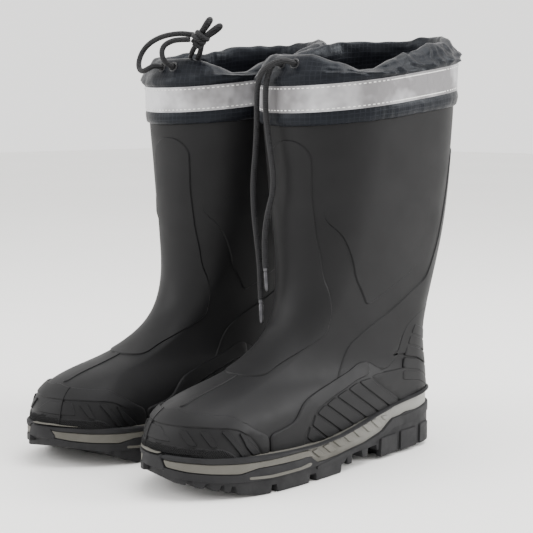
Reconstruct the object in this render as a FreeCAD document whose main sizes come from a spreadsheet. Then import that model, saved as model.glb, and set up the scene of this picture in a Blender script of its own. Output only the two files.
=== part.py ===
"""A pair of insulated rubber winter boots with a nylon drawcord collar, as a parametric FreeCAD document.

Frame: +Z up, toes towards -Y. The wearer's right boot stands at -X, the left boot at +X.
The right boot is built first about x = 0 and then set to its place; the left boot is its mirror image.
Across a boot, the outer side is -X on the right boot and the inner side is +X.
The form is drawn for one sample size and graded in length, width and height.
"""
import FreeCAD, Part
import math
import os
import Sketcher

Vector = FreeCAD.Vector
Rotation = FreeCAD.Rotation
Placement = FreeCAD.Placement

doc = FreeCAD.newDocument("winter_boots")

# ---------------------------------------------------------------- driving sizes (mm, degrees)

SIZES = {
    # overall sizes; the sample size is the one that the form and the patterns are drawn for
    "boot_length": 331, "sample_length": 331,
    "boot_width": 122, "sample_width": 122,
    "shaft_height": 333, "sample_height": 333,
    "boot_spacing": 152, "middle_shift": -10.3,
    # upper
    "rubber_wall": 2.5, "overlay_rise": 1.5, "lining_gap": 0.3, "lining_wall": 6,
    "top_tilt": 6.3, "tilt_pivot": 80, "ridge_width": 10,
    # bottom
    "board_thickness": 2.5, "bootie_floor": 4, "footbed_thickness": 5, "footbed_gap": 3,
    "footbed_rest_gap": 0.3, "midsole_inset": 1.5, "shank_width": 22, "shank_thickness": 2,
    "shank_gap": 0.3, "lug_depth": 6.5, "groove_width": 7, "groove_offset": 24,
    # collar
    "cuff_overlap": 33, "cuff_gap": 0.3, "cuff_wall": 3, "cuff_free_height": 17,
    "hem_height": 14, "hem_wall": 9, "cuff_lean": 3, "hem_lean": 9,
    "tape_drop": 21, "tape_height": 24, "tape_thickness": 0.6,
    # drawcord
    "cord_diameter": 5, "cord_gap": 0.3, "eyelet_flange": 5, "eyelet_gap": 0.4,
    "aglet_length": 21, "aglet_diameter": 4,
}

# Sections of the form, from the sole up: height, front and its round, back and its round, side round,
# and the share of the top's tilt.
# Front and back are places along Y, a round is the radius of that end or side of the section.
SECTIONS = {
    "base": (20, -159, 50, 165, 42, 2000, 0),
    "feather": (36, -158.4, 50, 164.4, 42, 2000, 0),
    "bumper": (46, -156.1, 49, 163, 42, 1600, 0),
    "toe_rise": (56, -152, 46, 161.6, 41, 1200, 0),
    "toe_top": (68, -137, 38, 160, 41, 900, 0),
    "vamp": (80, -98, 30, 159, 40, 800, 0),
    "instep": (96, -50, 28, 157, 40, 650, 0),
    "throat": (118, -19.3, 31, 158.6, 41, 500, 0),
    "ankle": (150, -4.4, 39, 167, 44, 400, 0),
    "calf": (205, -4.5, 50, 179, 52, 400, 0),
    "shin": (275, -7.6, 62, 182.5, 64, 400, 0.7),
    "band": (300, -9.2, 65.5, 183, 67.5, 400, 1),
    "top": (333, -10.5, 67.5, 183, 69.5, 400, 1),
}
SECTION_FIELDS = ("height", "front", "front_round", "back", "back_round", "side_round", "tilt_share")

sheet = doc.addObject("Spreadsheet::Sheet", "sizes")
row = 1


def add_cell(alias, value):
    """Write one named number in the sheet."""
    global row
    sheet.set(f"A{row}", alias)
    sheet.set(f"B{row}", str(value))
    sheet.setAlias(f"B{row}", alias)
    row += 1


for alias, value in SIZES.items():
    add_cell(alias, value)
for section, values in SECTIONS.items():
    for field, value in zip(SECTION_FIELDS, values):
        add_cell(f"{section}_{field}", value)
doc.recompute()


def size(alias):
    """The value of a cell as a plain number."""
    return float(sheet.get(alias))


GRADE_LONG = size("boot_length") / size("sample_length")
GRADE_WIDE = size("boot_width") / size("sample_width")
GRADE_HIGH = size("shaft_height") / size("sample_height")
LONG = "sizes.boot_length / sizes.sample_length"
WIDE = "sizes.boot_width / sizes.sample_width"
HIGH = "sizes.shaft_height / sizes.sample_height"
FEATHER_TOP = size("toe_rise_height")      # below this height nothing is graded in height


def graded_height(height):
    """A pattern height on the graded boot: the foot keeps its height, the shaft above it is stretched."""
    if height <= FEATHER_TOP:
        return height
    return FEATHER_TOP + (height - FEATHER_TOP) * GRADE_HIGH


def graded(points):
    """Side-view pattern points (along, up), graded to the boot's size."""
    return [(along * GRADE_LONG, graded_height(up)) for along, up in points]


# ---------------------------------------------------------------- building helpers

def section_arcs(front, front_round, back, back_round, side_round):
    """Four tangent arcs of a closed section: front, inner side, back, outer side."""
    front_centre = Vector(0, front + front_round, 0)
    back_centre = Vector(0, back - back_round, 0)
    apart = back_centre.y - front_centre.y
    to_front = side_round - front_round
    to_back = side_round - back_round
    along = (to_front ** 2 - to_back ** 2 + apart ** 2) / (2 * apart)
    across = math.sqrt(to_front ** 2 - along ** 2)
    arcs = []
    inner_centre = Vector(-across, front_centre.y + along, 0)
    outer_centre = Vector(across, front_centre.y + along, 0)

    def bearing(centre, point):
        return math.atan2(point.y - centre.y, point.x - centre.x)

    inner_low = bearing(inner_centre, front_centre)
    inner_high = bearing(inner_centre, back_centre)
    outer_high = bearing(outer_centre, back_centre)
    outer_low = bearing(outer_centre, front_centre) + 2 * math.pi
    arcs.append((front_centre, front_round, outer_low, inner_low + 2 * math.pi))
    arcs.append((inner_centre, side_round, inner_low, inner_high))
    arcs.append((back_centre, back_round, inner_high, outer_high))
    arcs.append((outer_centre, side_round, outer_high, outer_low))
    axis = Vector(0, 0, 1)
    return [Part.ArcOfCircle(Part.Circle(centre, axis, radius), start, end)
            for centre, radius, start, end in arcs]


def section_sketch(name, section, grow="0", height=None):
    """A sketch of one section of the form, grown by an expression, at a height given as an expression."""
    sketch = doc.addObject("Sketcher::SketchObject", name)
    grow_value = evaluate(grow)
    front = size(f"{section}_front") * GRADE_LONG
    back = size(f"{section}_back") * GRADE_LONG
    front_round = size(f"{section}_front_round") * GRADE_WIDE
    back_round = size(f"{section}_back_round") * GRADE_WIDE
    side_round = size(f"{section}_side_round")
    sketch.addGeometry(section_arcs(front - grow_value, front_round + grow_value, back + grow_value,
                                    back_round + grow_value, side_round + grow_value))
    for one, other in ((0, 1), (1, 2), (2, 3), (3, 0)):
        sketch.addConstraint(Sketcher.Constraint("Tangent", one, 2, other, 1))
    sketch.addConstraint(Sketcher.Constraint("PointOnObject", 0, 3, -2))
    sketch.addConstraint(Sketcher.Constraint("PointOnObject", 2, 3, -2))
    sketch.addConstraint(Sketcher.Constraint("Equal", 1, 3))
    driven = (
        ("front_round", Sketcher.Constraint("Radius", 0, front_round + grow_value),
         f"sizes.{section}_front_round * {WIDE} + ({grow})"),
        ("back_round", Sketcher.Constraint("Radius", 2, back_round + grow_value),
         f"sizes.{section}_back_round * {WIDE} + ({grow})"),
        ("side_round", Sketcher.Constraint("Radius", 1, side_round + grow_value),
         f"sizes.{section}_side_round + ({grow})"),
        ("front_centre", Sketcher.Constraint("DistanceY", -1, 1, 0, 3, front + front_round),
         f"sizes.{section}_front * {LONG} + sizes.{section}_front_round * {WIDE}"),
        ("back_centre", Sketcher.Constraint("DistanceY", -1, 1, 2, 3, back - back_round),
         f"sizes.{section}_back * {LONG} - sizes.{section}_back_round * {WIDE}"),
    )
    for constraint_name, constraint, expression in driven:
        index = sketch.addConstraint(constraint)
        sketch.renameConstraint(index, constraint_name)
        sketch.setExpression(f"Constraints.{constraint_name}", expression)
    if height is None:
        height = section_height(section)
    share = size(f"{section}_tilt_share")
    sketch.setExpression(".Placement.Base.z", height)
    if share > 0:
        tilt = f"sizes.top_tilt * sizes.{section}_tilt_share"
        pivot = f"sizes.tilt_pivot * {LONG}"
        sketch.Placement = Placement(Vector(0, 0, 0), Rotation(Vector(1, 0, 0), size("top_tilt") * share))
        sketch.setExpression(".Placement.Rotation.Angle", tilt)
        sketch.setExpression(".Placement.Base.y", f"{pivot} * (1 - cos({tilt} * 1 deg))")
        sketch.setExpression(".Placement.Base.z", f"{height} - {pivot} * sin({tilt} * 1 deg)")
    return sketch


def evaluate(expression):
    """The plain number that an expression over the sheet gives."""
    return float(sheet.evalExpression(expression.replace("sizes.", "")))


def section_height(section):
    """Expression for a section's height: the foot keeps its height, the shaft above it is graded."""
    if size(f"{section}_height") <= FEATHER_TOP:
        return f"sizes.{section}_height"
    return f"sizes.toe_rise_height + (sizes.{section}_height - sizes.toe_rise_height) * {HIGH}"


def loft(name, sketches):
    """A solid loft through sketches."""
    body = doc.addObject("Part::Loft", name)
    body.Sections = sketches
    body.Solid = True
    return body


def form(name, grow, top_gap="0"):
    """The boot's whole form, grown (or, with a minus, shrunk) by an expression, also over the vamp."""
    sketches = []
    for section in SECTIONS:
        height = section_height(section)
        if section == "top":
            height = f"{height} + {top_gap}"
        if size(f"{section}_height") <= size("throat_height"):
            height = f"{height} + ({grow})"
        sketches.append(section_sketch(f"{name}_{section}", section, grow, height))
    return loft(name, sketches)


def cut(name, base, tool):
    """Base less tool."""
    result = doc.addObject("Part::Cut", name)
    result.Base = base
    result.Tool = tool
    return result


def common(name, shapes):
    """What two shapes share."""
    result = doc.addObject("Part::MultiCommon", name)
    result.Shapes = shapes
    return result


def side_prism(name, points, low_x, high_x):
    """A prism across the boot from low_x to high_x, on a closed side-view polygon of (along, up) points."""
    polygon = doc.addObject("Part::Polygon", f"{name}_outline")
    polygon.Nodes = [Vector(low_x, along, up) for along, up in points]
    polygon.Close = True
    prism = doc.addObject("Part::Extrusion", f"{name}_prism")
    prism.Base = polygon
    prism.DirMode = "Custom"
    prism.Dir = Vector(1, 0, 0)
    prism.LengthFwd = high_x - low_x
    prism.Solid = True
    return prism


def plan_prism(name, points, low_z, high_z):
    """An upright prism on a closed smooth plan outline."""
    curve = Part.BSplineCurve()
    curve.interpolate([Vector(across, along, low_z) for across, along in points], PeriodicFlag=True)
    outline = doc.addObject("Part::Feature", f"{name}_outline")
    outline.Shape = Part.Wire([curve.toShape()])
    prism = doc.addObject("Part::Extrusion", f"{name}_prism")
    prism.Base = outline
    prism.DirMode = "Custom"
    prism.Dir = Vector(0, 0, 1)
    prism.LengthFwd = high_z - low_z
    prism.Solid = True
    return prism


HALF = 110 * GRADE_WIDE        # half-width of the cutting prisms, past every piece of one boot
SKY = graded_height(460)       # a height above every piece


def tilted_slab(name, low, high):
    """A slab between two heights of the tilted shaft top."""
    slab = doc.addObject("Part::Box", name)
    slab.Length = 2 * HALF
    slab.Width = 4 * HALF
    slab.Height = high - low
    turn = Rotation(Vector(1, 0, 0), size("top_tilt"))
    pivot = Vector(0, size("tilt_pivot") * GRADE_LONG, low)
    slab.Placement = Placement(pivot + turn.multVec(Vector(-HALF, -2 * HALF, 0)), turn)
    return slab


# ---------------------------------------------------------------- profiles of the bottom

FEATHER_LINE = graded([(-190, 37), (-150, 34.5), (-110, 32), (-60, 30.5), (-20, 30), (7, 33), (36, 38),
                       (67, 43.5), (91, 47), (120, 49.5), (150, 51), (215, 53)])
RIM_LINE = graded([(-125, 20), (-112, 18.5), (-104, 20.5), (-30, 15), (-20, 15), (25, 17.5), (72, 22.5),
                   (84, 32.5), (100, 36), (215, 34.5)])
# Lugs seen from the side: front, back and foot height of each.
SIDE_LUGS = [(-122, -89, 0), (-84, -44, 0), (-36, 0, 0), (8, 16, 5), (30, 40, 7), (53, 61, 9),
             (66, 93, 0), (98, 127, 0), (132, 190, 0)]
TOE_LUGS = [(-160, -153, 10), (-150, -143, 6.5), (-140, -133, 3.5), (-131, -125, 1.2)]


def above(line, lift=0):
    """Side-view polygon of everything above a line, lifted."""
    points = [(along, up + lift) for along, up in line]
    return points + [(line[-1][0], SKY), (line[0][0], SKY)]


def between(low_line, high_line):
    """Side-view polygon between two lines."""
    return list(low_line) + list(reversed(high_line))


def shifted(line, lift):
    """A side-view line, lifted."""
    return [(along, up + lift) for along, up in line]


def sole_outline(grow=0.0):
    """Plan points of the sole, outer side at -X, grown outwards."""
    half = size("boot_length") / 2
    outer = [(26, -half + 11), (50, -half + 40), (61, -62), (58, -10), (53, 40), (48, 90), (43, half - 36),
             (24, half - 8)]
    inner = [(-24, half - 8), (-43, half - 36), (-47, 90), (-51, 40), (-54, -10), (-59.5, -75),
             (-54, -half + 44), (-34, -half + 13)]
    points = [(-3, -half)] + outer + [(0, half)] + inner
    placed = []
    count = len(points)
    for index, (across, along) in enumerate(points):
        before = points[index - 1]
        after = points[(index + 1) % count]
        run = math.hypot(after[0] - before[0], after[1] - before[1])
        normal = ((after[1] - before[1]) / run, (before[0] - after[0]) / run)
        placed.append((-(across + grow * normal[0]) * GRADE_WIDE, along + grow * normal[1]))
    return placed


def outsole_profile():
    """Side view of the outsole with its lugs: the foot of each lug, its root line and the rim on top."""
    root = graded([(-190, 30), (-170, 24), (-156, 15.5), (-140, 10), (-124, 7), (-100, 6.5), (-40, 6.5),
                   (3, 7), (10, 13), (58, 14), (63, 8), (70, 6.5), (215, 6.5)])

    def root_height(along):
        for (low_along, low_up), (high_along, high_up) in zip(root, root[1:]):
            if low_along <= along <= high_along:
                return low_up + (high_up - low_up) * (along - low_along) / (high_along - low_along)
        return root[-1][1]

    points = [root[0]]
    for front, back, foot in TOE_LUGS + SIDE_LUGS:
        front_edge = front * GRADE_LONG
        back_edge = back * GRADE_LONG
        points += [root[index] for index in range(1, len(root) - 1)
                   if points[-1][0] < root[index][0] < front_edge]
        points.append((front_edge, root_height(front_edge)))
        points.append((front_edge + 1, foot))
        points.append((back_edge - 1, foot))
        points.append((back_edge, root_height(back_edge)))
    points.append(root[-1])
    bumper_back = -150 * GRADE_LONG
    rim = [(FEATHER_LINE[0][0], FEATHER_LINE[0][1]), (bumper_back - 6, FEATHER_LINE[1][1] + 0.3),
           (bumper_back, 25)] + RIM_LINE
    return points, rim


sole_bottom, sole_rim = outsole_profile()

# ---------------------------------------------------------------- the form and its skins

outer_form = form("outer_form", "0")
raised_form = form("raised_form", "sizes.overlay_rise")
shell_inside = form("shell_inside", "-sizes.rubber_wall")
lining_outside = form("lining_outside", "-sizes.rubber_wall - sizes.lining_gap")
lining_inside = form("lining_inside", "-sizes.rubber_wall - sizes.lining_gap - sizes.lining_wall")

above_feather = side_prism("above_feather", above(FEATHER_LINE), -HALF, HALF)
rubber_skin = cut("rubber_skin", outer_form, shell_inside)
upper_shell = common("upper_shell", [rubber_skin, above_feather])
raised_skin = cut("raised_skin", raised_form, outer_form)
bonded_skin = common("bonded_skin", [raised_skin, above_feather])

# ---------------------------------------------------------------- bonded rubber overlays

GUARD_TOP = graded([(-82, 45), (-70, 47), (-56, 50), (-50, 53), (-43, 60), (-35, 66), (-23, 70), (7, 77),
                    (30, 83), (40, 88), (54, 88), (60, 86), (71, 79)])
COUNTER_TOP = graded([(71, 79), (89, 85), (94, 92), (98, 100), (102, 109), (109, 117), (123, 125), (146, 131),
                      (215, 135)])
CAP_TOP = graded([(-190, 68), (-139, 66.5), (-115, 64.5), (-106, 59), (-100, 54), (-92, 49), (-82, 45)])
GUARD_FRONT = CAP_TOP[-1][0]
COUNTER_FRONT = GUARD_TOP[-1][0]
FLOOR_LEVEL = 10


def overlay(name, points, low_x, high_x):
    """A raised rubber piece: the part of the bonded skin inside a side-view pattern."""
    return common(name, [bonded_skin, side_prism(name, points, low_x, high_x)])


toe_cap = overlay("toe_cap", CAP_TOP + [(GUARD_FRONT, FLOOR_LEVEL), (CAP_TOP[0][0], FLOOR_LEVEL)],
                  -HALF, HALF)
guard_pattern = GUARD_TOP + [(COUNTER_FRONT, FLOOR_LEVEL), (GUARD_FRONT, FLOOR_LEVEL)]
outer_side_guard = overlay("outer_side_guard", guard_pattern, -HALF, 0)
inner_side_guard = overlay("inner_side_guard", guard_pattern, 0, HALF)
heel_counter = overlay("heel_counter", COUNTER_TOP + [(COUNTER_TOP[-1][0], FLOOR_LEVEL),
                                                      (COUNTER_FRONT, FLOOR_LEVEL)], -HALF, HALF)
shin_pattern = graded([(-30, 283), (-7, 282), (-3, 272), (-1, 234), (3, 198), (8, 165), (13, 130), (12, 119),
                       (0, 111), (-21, 103), (-41, 95), (-58, 88), (-66, 90), (-80, 110), (-50, 160),
                       (-35, 240)])
shin_guard = overlay("shin_guard", shin_pattern, -HALF, HALF)
ridge_pattern = graded([(-165, 69), (-115, 69), (-72, 72), (-68, 110), (-165, 110)])
vamp_ridge = overlay("vamp_ridge", ridge_pattern, -size("ridge_width") / 2, size("ridge_width") / 2)
calf_pattern = graded([(4, 219), (8, 211), (16, 203), (21, 195), (34, 163), (46, 146), (51, 137), (58, 140),
                       (91, 157), (107, 165), (115, 178), (118, 201), (120, 227), (118, 262), (60, 268),
                       (10, 250)])
outer_calf_panel = overlay("outer_calf_panel", calf_pattern, -HALF, 0)
inner_calf_panel = overlay("inner_calf_panel", calf_pattern, 0, HALF)
stay_front = graded([(12, 78), (14, 81), (21, 89), (26, 96), (33, 104), (43, 110), (57, 118), (81, 129),
                     (105, 143), (128, 155), (133, 163), (139, 177), (144, 195), (147, 221), (150, 249),
                     (152, 272), (215, 282)])
back_stay = overlay("back_stay", stay_front + list(reversed(COUNTER_TOP)) + list(reversed(GUARD_TOP[8:-1])),
                    -HALF, HALF)

# ------------------------------------------------------- bottom: board, shank, bootie, footbed, soles

board_top = size("board_thickness")
board_strip = side_prism("board_strip", between(FEATHER_LINE, shifted(FEATHER_LINE, board_top)), -HALF, HALF)
insole_board = common("insole_board", [shell_inside, board_strip])

above_board = side_prism("above_board", above(FEATHER_LINE, board_top), -HALF, HALF)
floor_level = board_top + size("bootie_floor")
above_floor = side_prism("above_floor", above(FEATHER_LINE, floor_level), -HALF, HALF)
bootie_room = common("bootie_room", [lining_inside, above_floor])
bootie_block = common("bootie_block", [lining_outside, above_board])
lining = cut("lining", bootie_block, bootie_room)

footbed_low = floor_level + size("footbed_rest_gap")
footbed_high = footbed_low + size("footbed_thickness")
footbed_strip = side_prism("footbed_strip", between(shifted(FEATHER_LINE, footbed_low),
                                                    shifted(FEATHER_LINE, footbed_high)), -HALF, HALF)
footbed_form = form("footbed_form", "-sizes.rubber_wall - sizes.lining_gap - sizes.lining_wall"
                                    " - sizes.footbed_gap")
footbed = common("footbed", [footbed_form, footbed_strip])

SHANK_SPAN = (-25 * GRADE_LONG, 95 * GRADE_LONG)
shank_line = [point for point in FEATHER_LINE if SHANK_SPAN[0] < point[0] < SHANK_SPAN[1]]


def shank_pattern(gap):
    """Side view of the steel shank just under the board, or of its seat when given a gap."""
    top = shank_line if gap == 0 else shifted(shank_line, 1)
    low = shifted(shank_line, -size("shank_thickness") - gap)
    if gap > 0:
        top = [(top[0][0] - gap, top[0][1])] + top + [(top[-1][0] + gap, top[-1][1])]
        low = [(low[0][0] - gap, low[0][1])] + low + [(low[-1][0] + gap, low[-1][1])]
    return between(low, top)


half_shank = size("shank_width") / 2
seat_half = half_shank + size("shank_gap")
shank = side_prism("shank", shank_pattern(0), -half_shank, half_shank)
shank_seat = side_prism("shank_seat", shank_pattern(size("shank_gap")), -seat_half, seat_half)

outsole_block = plan_prism("outsole_plan", sole_outline(), -5, SKY)
outsole_side = side_prism("outsole_side", between(sole_bottom, sole_rim), -HALF, HALF)
outsole_solid = common("outsole_solid", [outsole_block, outsole_side])
grooves = []
for side in (-1, 1):
    groove = doc.addObject("Part::Box", f"groove_{'outer' if side < 0 else 'inner'}")
    groove.setExpression("Length", "sizes.groove_width")
    groove.Width = size("boot_length") * 0.68
    groove.setExpression("Height", "sizes.lug_depth + 5")
    middle = side * size("groove_offset") * GRADE_WIDE
    groove.Placement = Placement(Vector(middle - size("groove_width") / 2, -110 * GRADE_LONG, -5), Rotation())
    grooves.append(groove)
groove_pair = doc.addObject("Part::MultiFuse", "groove_pair")
groove_pair.Shapes = grooves
outsole = cut("outsole", outsole_solid, groove_pair)

midsole_block = plan_prism("midsole_plan", sole_outline(-size("midsole_inset")), -5, SKY)
midsole_side = side_prism("midsole_side", between(sole_rim[1:], FEATHER_LINE[1:]), -HALF, HALF)
midsole_solid = common("midsole_solid", [midsole_block, midsole_side])
midsole = cut("midsole", midsole_solid, shank_seat)

# ---------------------------------------------------------------- nylon collar, tape, hem, drawcord

SHAFT_TOP = section_height("top")
FOLD_HEIGHT = f"{SHAFT_TOP} - sizes.cuff_overlap"
HEM_LOW = f"{SHAFT_TOP} + sizes.cuff_free_height"
HEM_TOP = f"{HEM_LOW} + sizes.hem_height"
SLEEVE = "sizes.cuff_gap + sizes.cuff_wall"
JUST_OVER = f"{SHAFT_TOP} + sizes.cuff_gap"

sleeve_hole = form("sleeve_hole", "sizes.cuff_gap", "sizes.cuff_gap")
cuff_outside = loft("cuff_outside", [
    section_sketch("cuff_fold", "band", SLEEVE, FOLD_HEIGHT),
    section_sketch("cuff_edge", "top", SLEEVE, SHAFT_TOP),
    section_sketch("cuff_over_edge", "top", SLEEVE, f"{SHAFT_TOP} + 4"),
    section_sketch("cuff_to_hem", "top", f"{SLEEVE} - sizes.cuff_lean", HEM_LOW)])
cuff_inside = loft("cuff_inside", [
    section_sketch("cuff_mouth_low", "top", f"{SLEEVE} - sizes.hem_wall", JUST_OVER),
    section_sketch("cuff_mouth_high", "top", f"{SLEEVE} - sizes.cuff_lean - sizes.hem_wall", HEM_LOW)])
cuff_hollow = doc.addObject("Part::MultiFuse", "cuff_hollow")
cuff_hollow.Shapes = [sleeve_hole, cuff_inside]
cuff = cut("cuff", cuff_outside, cuff_hollow)

hem_outside = loft("hem_outside", [
    section_sketch("hem_low_outside", "top", f"{SLEEVE} - sizes.cuff_lean", HEM_LOW),
    section_sketch("hem_high_outside", "top", f"{SLEEVE} - sizes.hem_lean", HEM_TOP)])
hem_inside = loft("hem_inside", [
    section_sketch("hem_low_inside", "top", f"{SLEEVE} - sizes.cuff_lean - sizes.hem_wall", HEM_LOW),
    section_sketch("hem_high_inside", "top", f"{SLEEVE} - sizes.hem_lean - sizes.hem_wall", HEM_TOP)])
hem_band = cut("hem_band", hem_outside, hem_inside)

CORD_HEIGHT = f"{HEM_LOW} + sizes.hem_height / 2"
CORD_GROW = f"{SLEEVE} - (sizes.cuff_lean + sizes.hem_lean) / 2 - sizes.hem_wall / 2"
cord_path = section_sketch("cord_path", "top", CORD_GROW, CORD_HEIGHT)
doc.recompute()


def ring_tube(name, path, radius):
    """A closed tube round a flat closed path."""
    wire = path.Shape.Wires[0]
    start = wire.Edges[0]
    point = start.valueAt(start.FirstParameter)
    heading = start.tangentAt(start.FirstParameter)
    profile = doc.addObject("Part::Circle", f"{name}_profile")
    profile.Radius = radius
    profile.Placement = Placement(point, Rotation(Vector(0, 0, 1), heading))
    tube = doc.addObject("Part::Sweep", name)
    tube.Sections = [profile]
    tube.Spine = (path, [f"Edge{index + 1}" for index in range(len(wire.Edges))])
    tube.Solid = True
    tube.Frenet = True
    return tube


drawcord_run = ring_tube("drawcord_run", cord_path, size("cord_diameter") / 2)
cord_channel = ring_tube("cord_channel", cord_path, size("cord_diameter") / 2 + size("cord_gap"))
hem_with_channel = cut("hem_with_channel", hem_band, cord_channel)

tape_outside = loft("tape_outside", [
    section_sketch("tape_low", "band", f"{SLEEVE} + sizes.tape_thickness", FOLD_HEIGHT),
    section_sketch("tape_edge", "top", f"{SLEEVE} + sizes.tape_thickness", SHAFT_TOP),
    section_sketch("tape_over", "top", f"{SLEEVE} + sizes.tape_thickness", f"{SHAFT_TOP} + 4")])
tape_ring = cut("tape_ring", tape_outside, cuff_outside)
tape_low = evaluate(SHAFT_TOP) - size("tape_drop")
reflective_tape = common("reflective_tape", [tape_ring, tilted_slab(
    "tape_slab", tape_low, tape_low + size("tape_height"))])

# ---------------------------------------------------------------- eyelets in the front of the hem

LEFT_X = size("boot_spacing") / 2
RIGHT_X = -LEFT_X
SHIFT_Y = size("middle_shift")
hem_middle = evaluate(CORD_HEIGHT)
hem_front_radius = size("top_front_round") * GRADE_WIDE + evaluate(SLEEVE) - (
    size("cuff_lean") + size("hem_lean")) / 2
hem_front_centre = size("top_front") * GRADE_LONG + size("top_front_round") * GRADE_WIDE
EYELETS_ACROSS = (-8, 7)
EYELET_BARREL = 0.9
FLANGE_DEPTH = 1.0
cord_radius = size("cord_diameter") / 2
eyelet_bore = cord_radius + size("cord_gap")
hem_slope = math.atan2(size("hem_lean") - size("cuff_lean"), size("hem_height"))


def eyelet_seat(across):
    """Where an eyelet's axis meets the hem's leaning front face, and the face's outward direction."""
    turn = Rotation(Vector(1, 0, 0), size("top_tilt"))
    pivot = size("tilt_pivot") * GRADE_LONG
    along = hem_front_centre - math.sqrt(hem_front_radius ** 2 - across ** 2)
    sideways = math.asin(across / hem_front_radius)
    outward = Vector(math.sin(sideways) * math.cos(hem_slope), -math.cos(sideways) * math.cos(hem_slope),
                     math.sin(hem_slope))
    seat = Vector(0, pivot, hem_middle) + turn.multVec(Vector(across, along - pivot, 0))
    return seat, turn.multVec(outward)


def rod(name, start, heading, radius, length):
    """A cylinder from a point along a heading."""
    cylinder = doc.addObject("Part::Cylinder", name)
    cylinder.Radius = radius
    cylinder.Height = length
    cylinder.Placement = Placement(start, Rotation(Vector(0, 0, 1), heading))
    return cylinder


barrel_depth = size("hem_wall") / 2 - cord_radius - 2 * size("cord_gap")
eyelet_rings = []
eyelet_holes = []
for number, across in enumerate(EYELETS_ACROSS):
    seat, outward = eyelet_seat(across)
    back_face = seat + outward * size("eyelet_gap")
    flange = rod(f"flange_{number}", back_face, outward, size("eyelet_flange"), FLANGE_DEPTH)
    barrel = rod(f"barrel_{number}", seat - outward * barrel_depth, outward, eyelet_bore + EYELET_BARREL,
                 barrel_depth + size("eyelet_gap") + FLANGE_DEPTH)
    whole = doc.addObject("Part::MultiFuse", f"grommet_{number}")
    whole.Shapes = [flange, barrel]
    bore = rod(f"bore_{number}", seat - outward * (barrel_depth + 1), outward, eyelet_bore, barrel_depth + 5)
    eyelet_rings.append(cut(f"eyelet_{number}", whole, bore))
    hole_radius = eyelet_bore + EYELET_BARREL + size("cord_gap")
    eyelet_holes.append(rod(f"hem_hole_{number}", seat - outward * (barrel_depth + 1), outward, hole_radius,
                            barrel_depth + 5))
eyelets = doc.addObject("Part::Compound", "eyelets")
eyelets.Links = eyelet_rings
holes = doc.addObject("Part::MultiFuse", "eyelet_holes")
holes.Shapes = eyelet_holes
cuff_hem = cut("cuff_hem", hem_with_channel, holes)

# ---------------------------------------------------------------- cords outside the hem


def cord_tube(name, points, radius):
    """A round tube along straight runs joined by tangent arcs, each as large as its two runs allow."""
    edges = []
    start = points[0]
    radii = []
    for before, corner, after in zip(points, points[1:], points[2:]):
        run_in = corner - before
        run_out = after - corner
        turn = run_in.getAngle(run_out)
        setback = 0.45 * min(run_in.Length, run_out.Length)
        radii.append(setback / math.tan(turn / 2))
        heading_in = Vector(run_in).normalize()
        heading_out = Vector(run_out).normalize()
        arc_start = corner - heading_in * setback
        arc_end = corner + heading_out * setback
        bisector = (heading_out - heading_in).normalize()
        middle = corner + bisector * (radii[-1] / math.cos(turn / 2) - radii[-1])
        edges.append(Part.LineSegment(start, arc_start).toShape())
        edges.append(Part.Arc(arc_start, middle, arc_end).toShape())
        start = arc_end
    edges.append(Part.LineSegment(start, points[-1]).toShape())
    path = doc.addObject("Part::Feature", f"{name}_path")
    path.Shape = Part.Wire(edges)
    profile = doc.addObject("Part::Circle", f"{name}_profile")
    profile.Radius = radius
    profile.Placement = Placement(points[0], Rotation(Vector(0, 0, 1), points[1] - points[0]))
    tube = doc.addObject("Part::Sweep", name)
    tube.Sections = [profile]
    tube.Spine = (path, [f"Edge{index + 1}" for index in range(len(edges))])
    tube.Solid = True
    tube.Frenet = False
    doc.recompute()
    ideal = math.pi * radius ** 2 * path.Shape.Length
    print(f"{name}: {path.Shape.Length:.0f} mm long, radii {min(radii):.1f} to {max(radii):.1f} mm,"
          f" volume {tube.Shape.Volume / ideal:.4f} of section times length")
    return tube


def placed(points, middle):
    """Route points of one boot, set at that boot's place."""
    return [Vector(across + middle, along + SHIFT_Y, up) for across, along, up in points]


# Each route starts in its eyelet; places are across, along and up from the boot's own middle.
TAIL_OUTER = [(7.8, -5.2, 346.9), (9, -14.9, 349.9), (6.9, -20.5, 350.3), (2.2, -24.5, 348.6),
              (-4.6, -26, 346), (-12.4, -26, 341.5), (-19.3, -23.5, 334.5), (-25, -19.5, 325),
              (-29, -15.8, 312.5), (-31.8, -13, 296), (-34, -12.2, 273), (-36, -13.5, 248), (-36, -13, 223),
              (-33.5, -12, 199), (-30, -12, 178), (-28.5, -12.2, 160), (-26, -14, 143)]
TAIL_INNER = [(-6.8, -5.3, 346.9), (-7.6, -12.7, 349.2), (-8.7, -17, 347.3), (-10.5, -19.2, 342.5),
              (-13, -19.6, 336), (-15, -19, 327.5), (-16.2, -18.4, 317), (-15.8, -18, 304),
              (-13, -18.5, 287), (-9.5, -18.5, 270), (-6.8, -18, 253), (-8.3, -17.3, 237),
              (-13.8, -17.5, 222), (-18, -16.8, 206), (-19.5, -16.2, 189), (-18.8, -15.5, 172)]
LOOP_OUTER = [(-7.8, -5.2, 346.9), (-9, -14.9, 349.9), (-12.8, -19.8, 346.8), (-18.3, -21.8, 343.8),
              (-24.5, -21, 345), (-28.5, -19, 350), (-29.3, -16.8, 356.5), (-27, -14.8, 363),
              (-21.5, -12.8, 369), (-13.5, -10.5, 373.5), (-4, -8.2, 376.5), (6.5, -5, 378),
              (15.5, -1.5, 378.3), (24.3, 2.5, 376.8)]
LOOP_INNER = [(6.8, -5.3, 346.9), (7.9, -15, 349.9), (7.6, -19.8, 353.5), (6.5, -21.5, 359.8),
              (6.5, -19.5, 366), (9.5, -15.5, 370), (16.5, -10.5, 372.5), (26, -4, 372.3)]
END_UPPER = [(27, 3.5, 368.2), (20.8, 5, 364.2), (15.5, 8, 360.5)]
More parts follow.
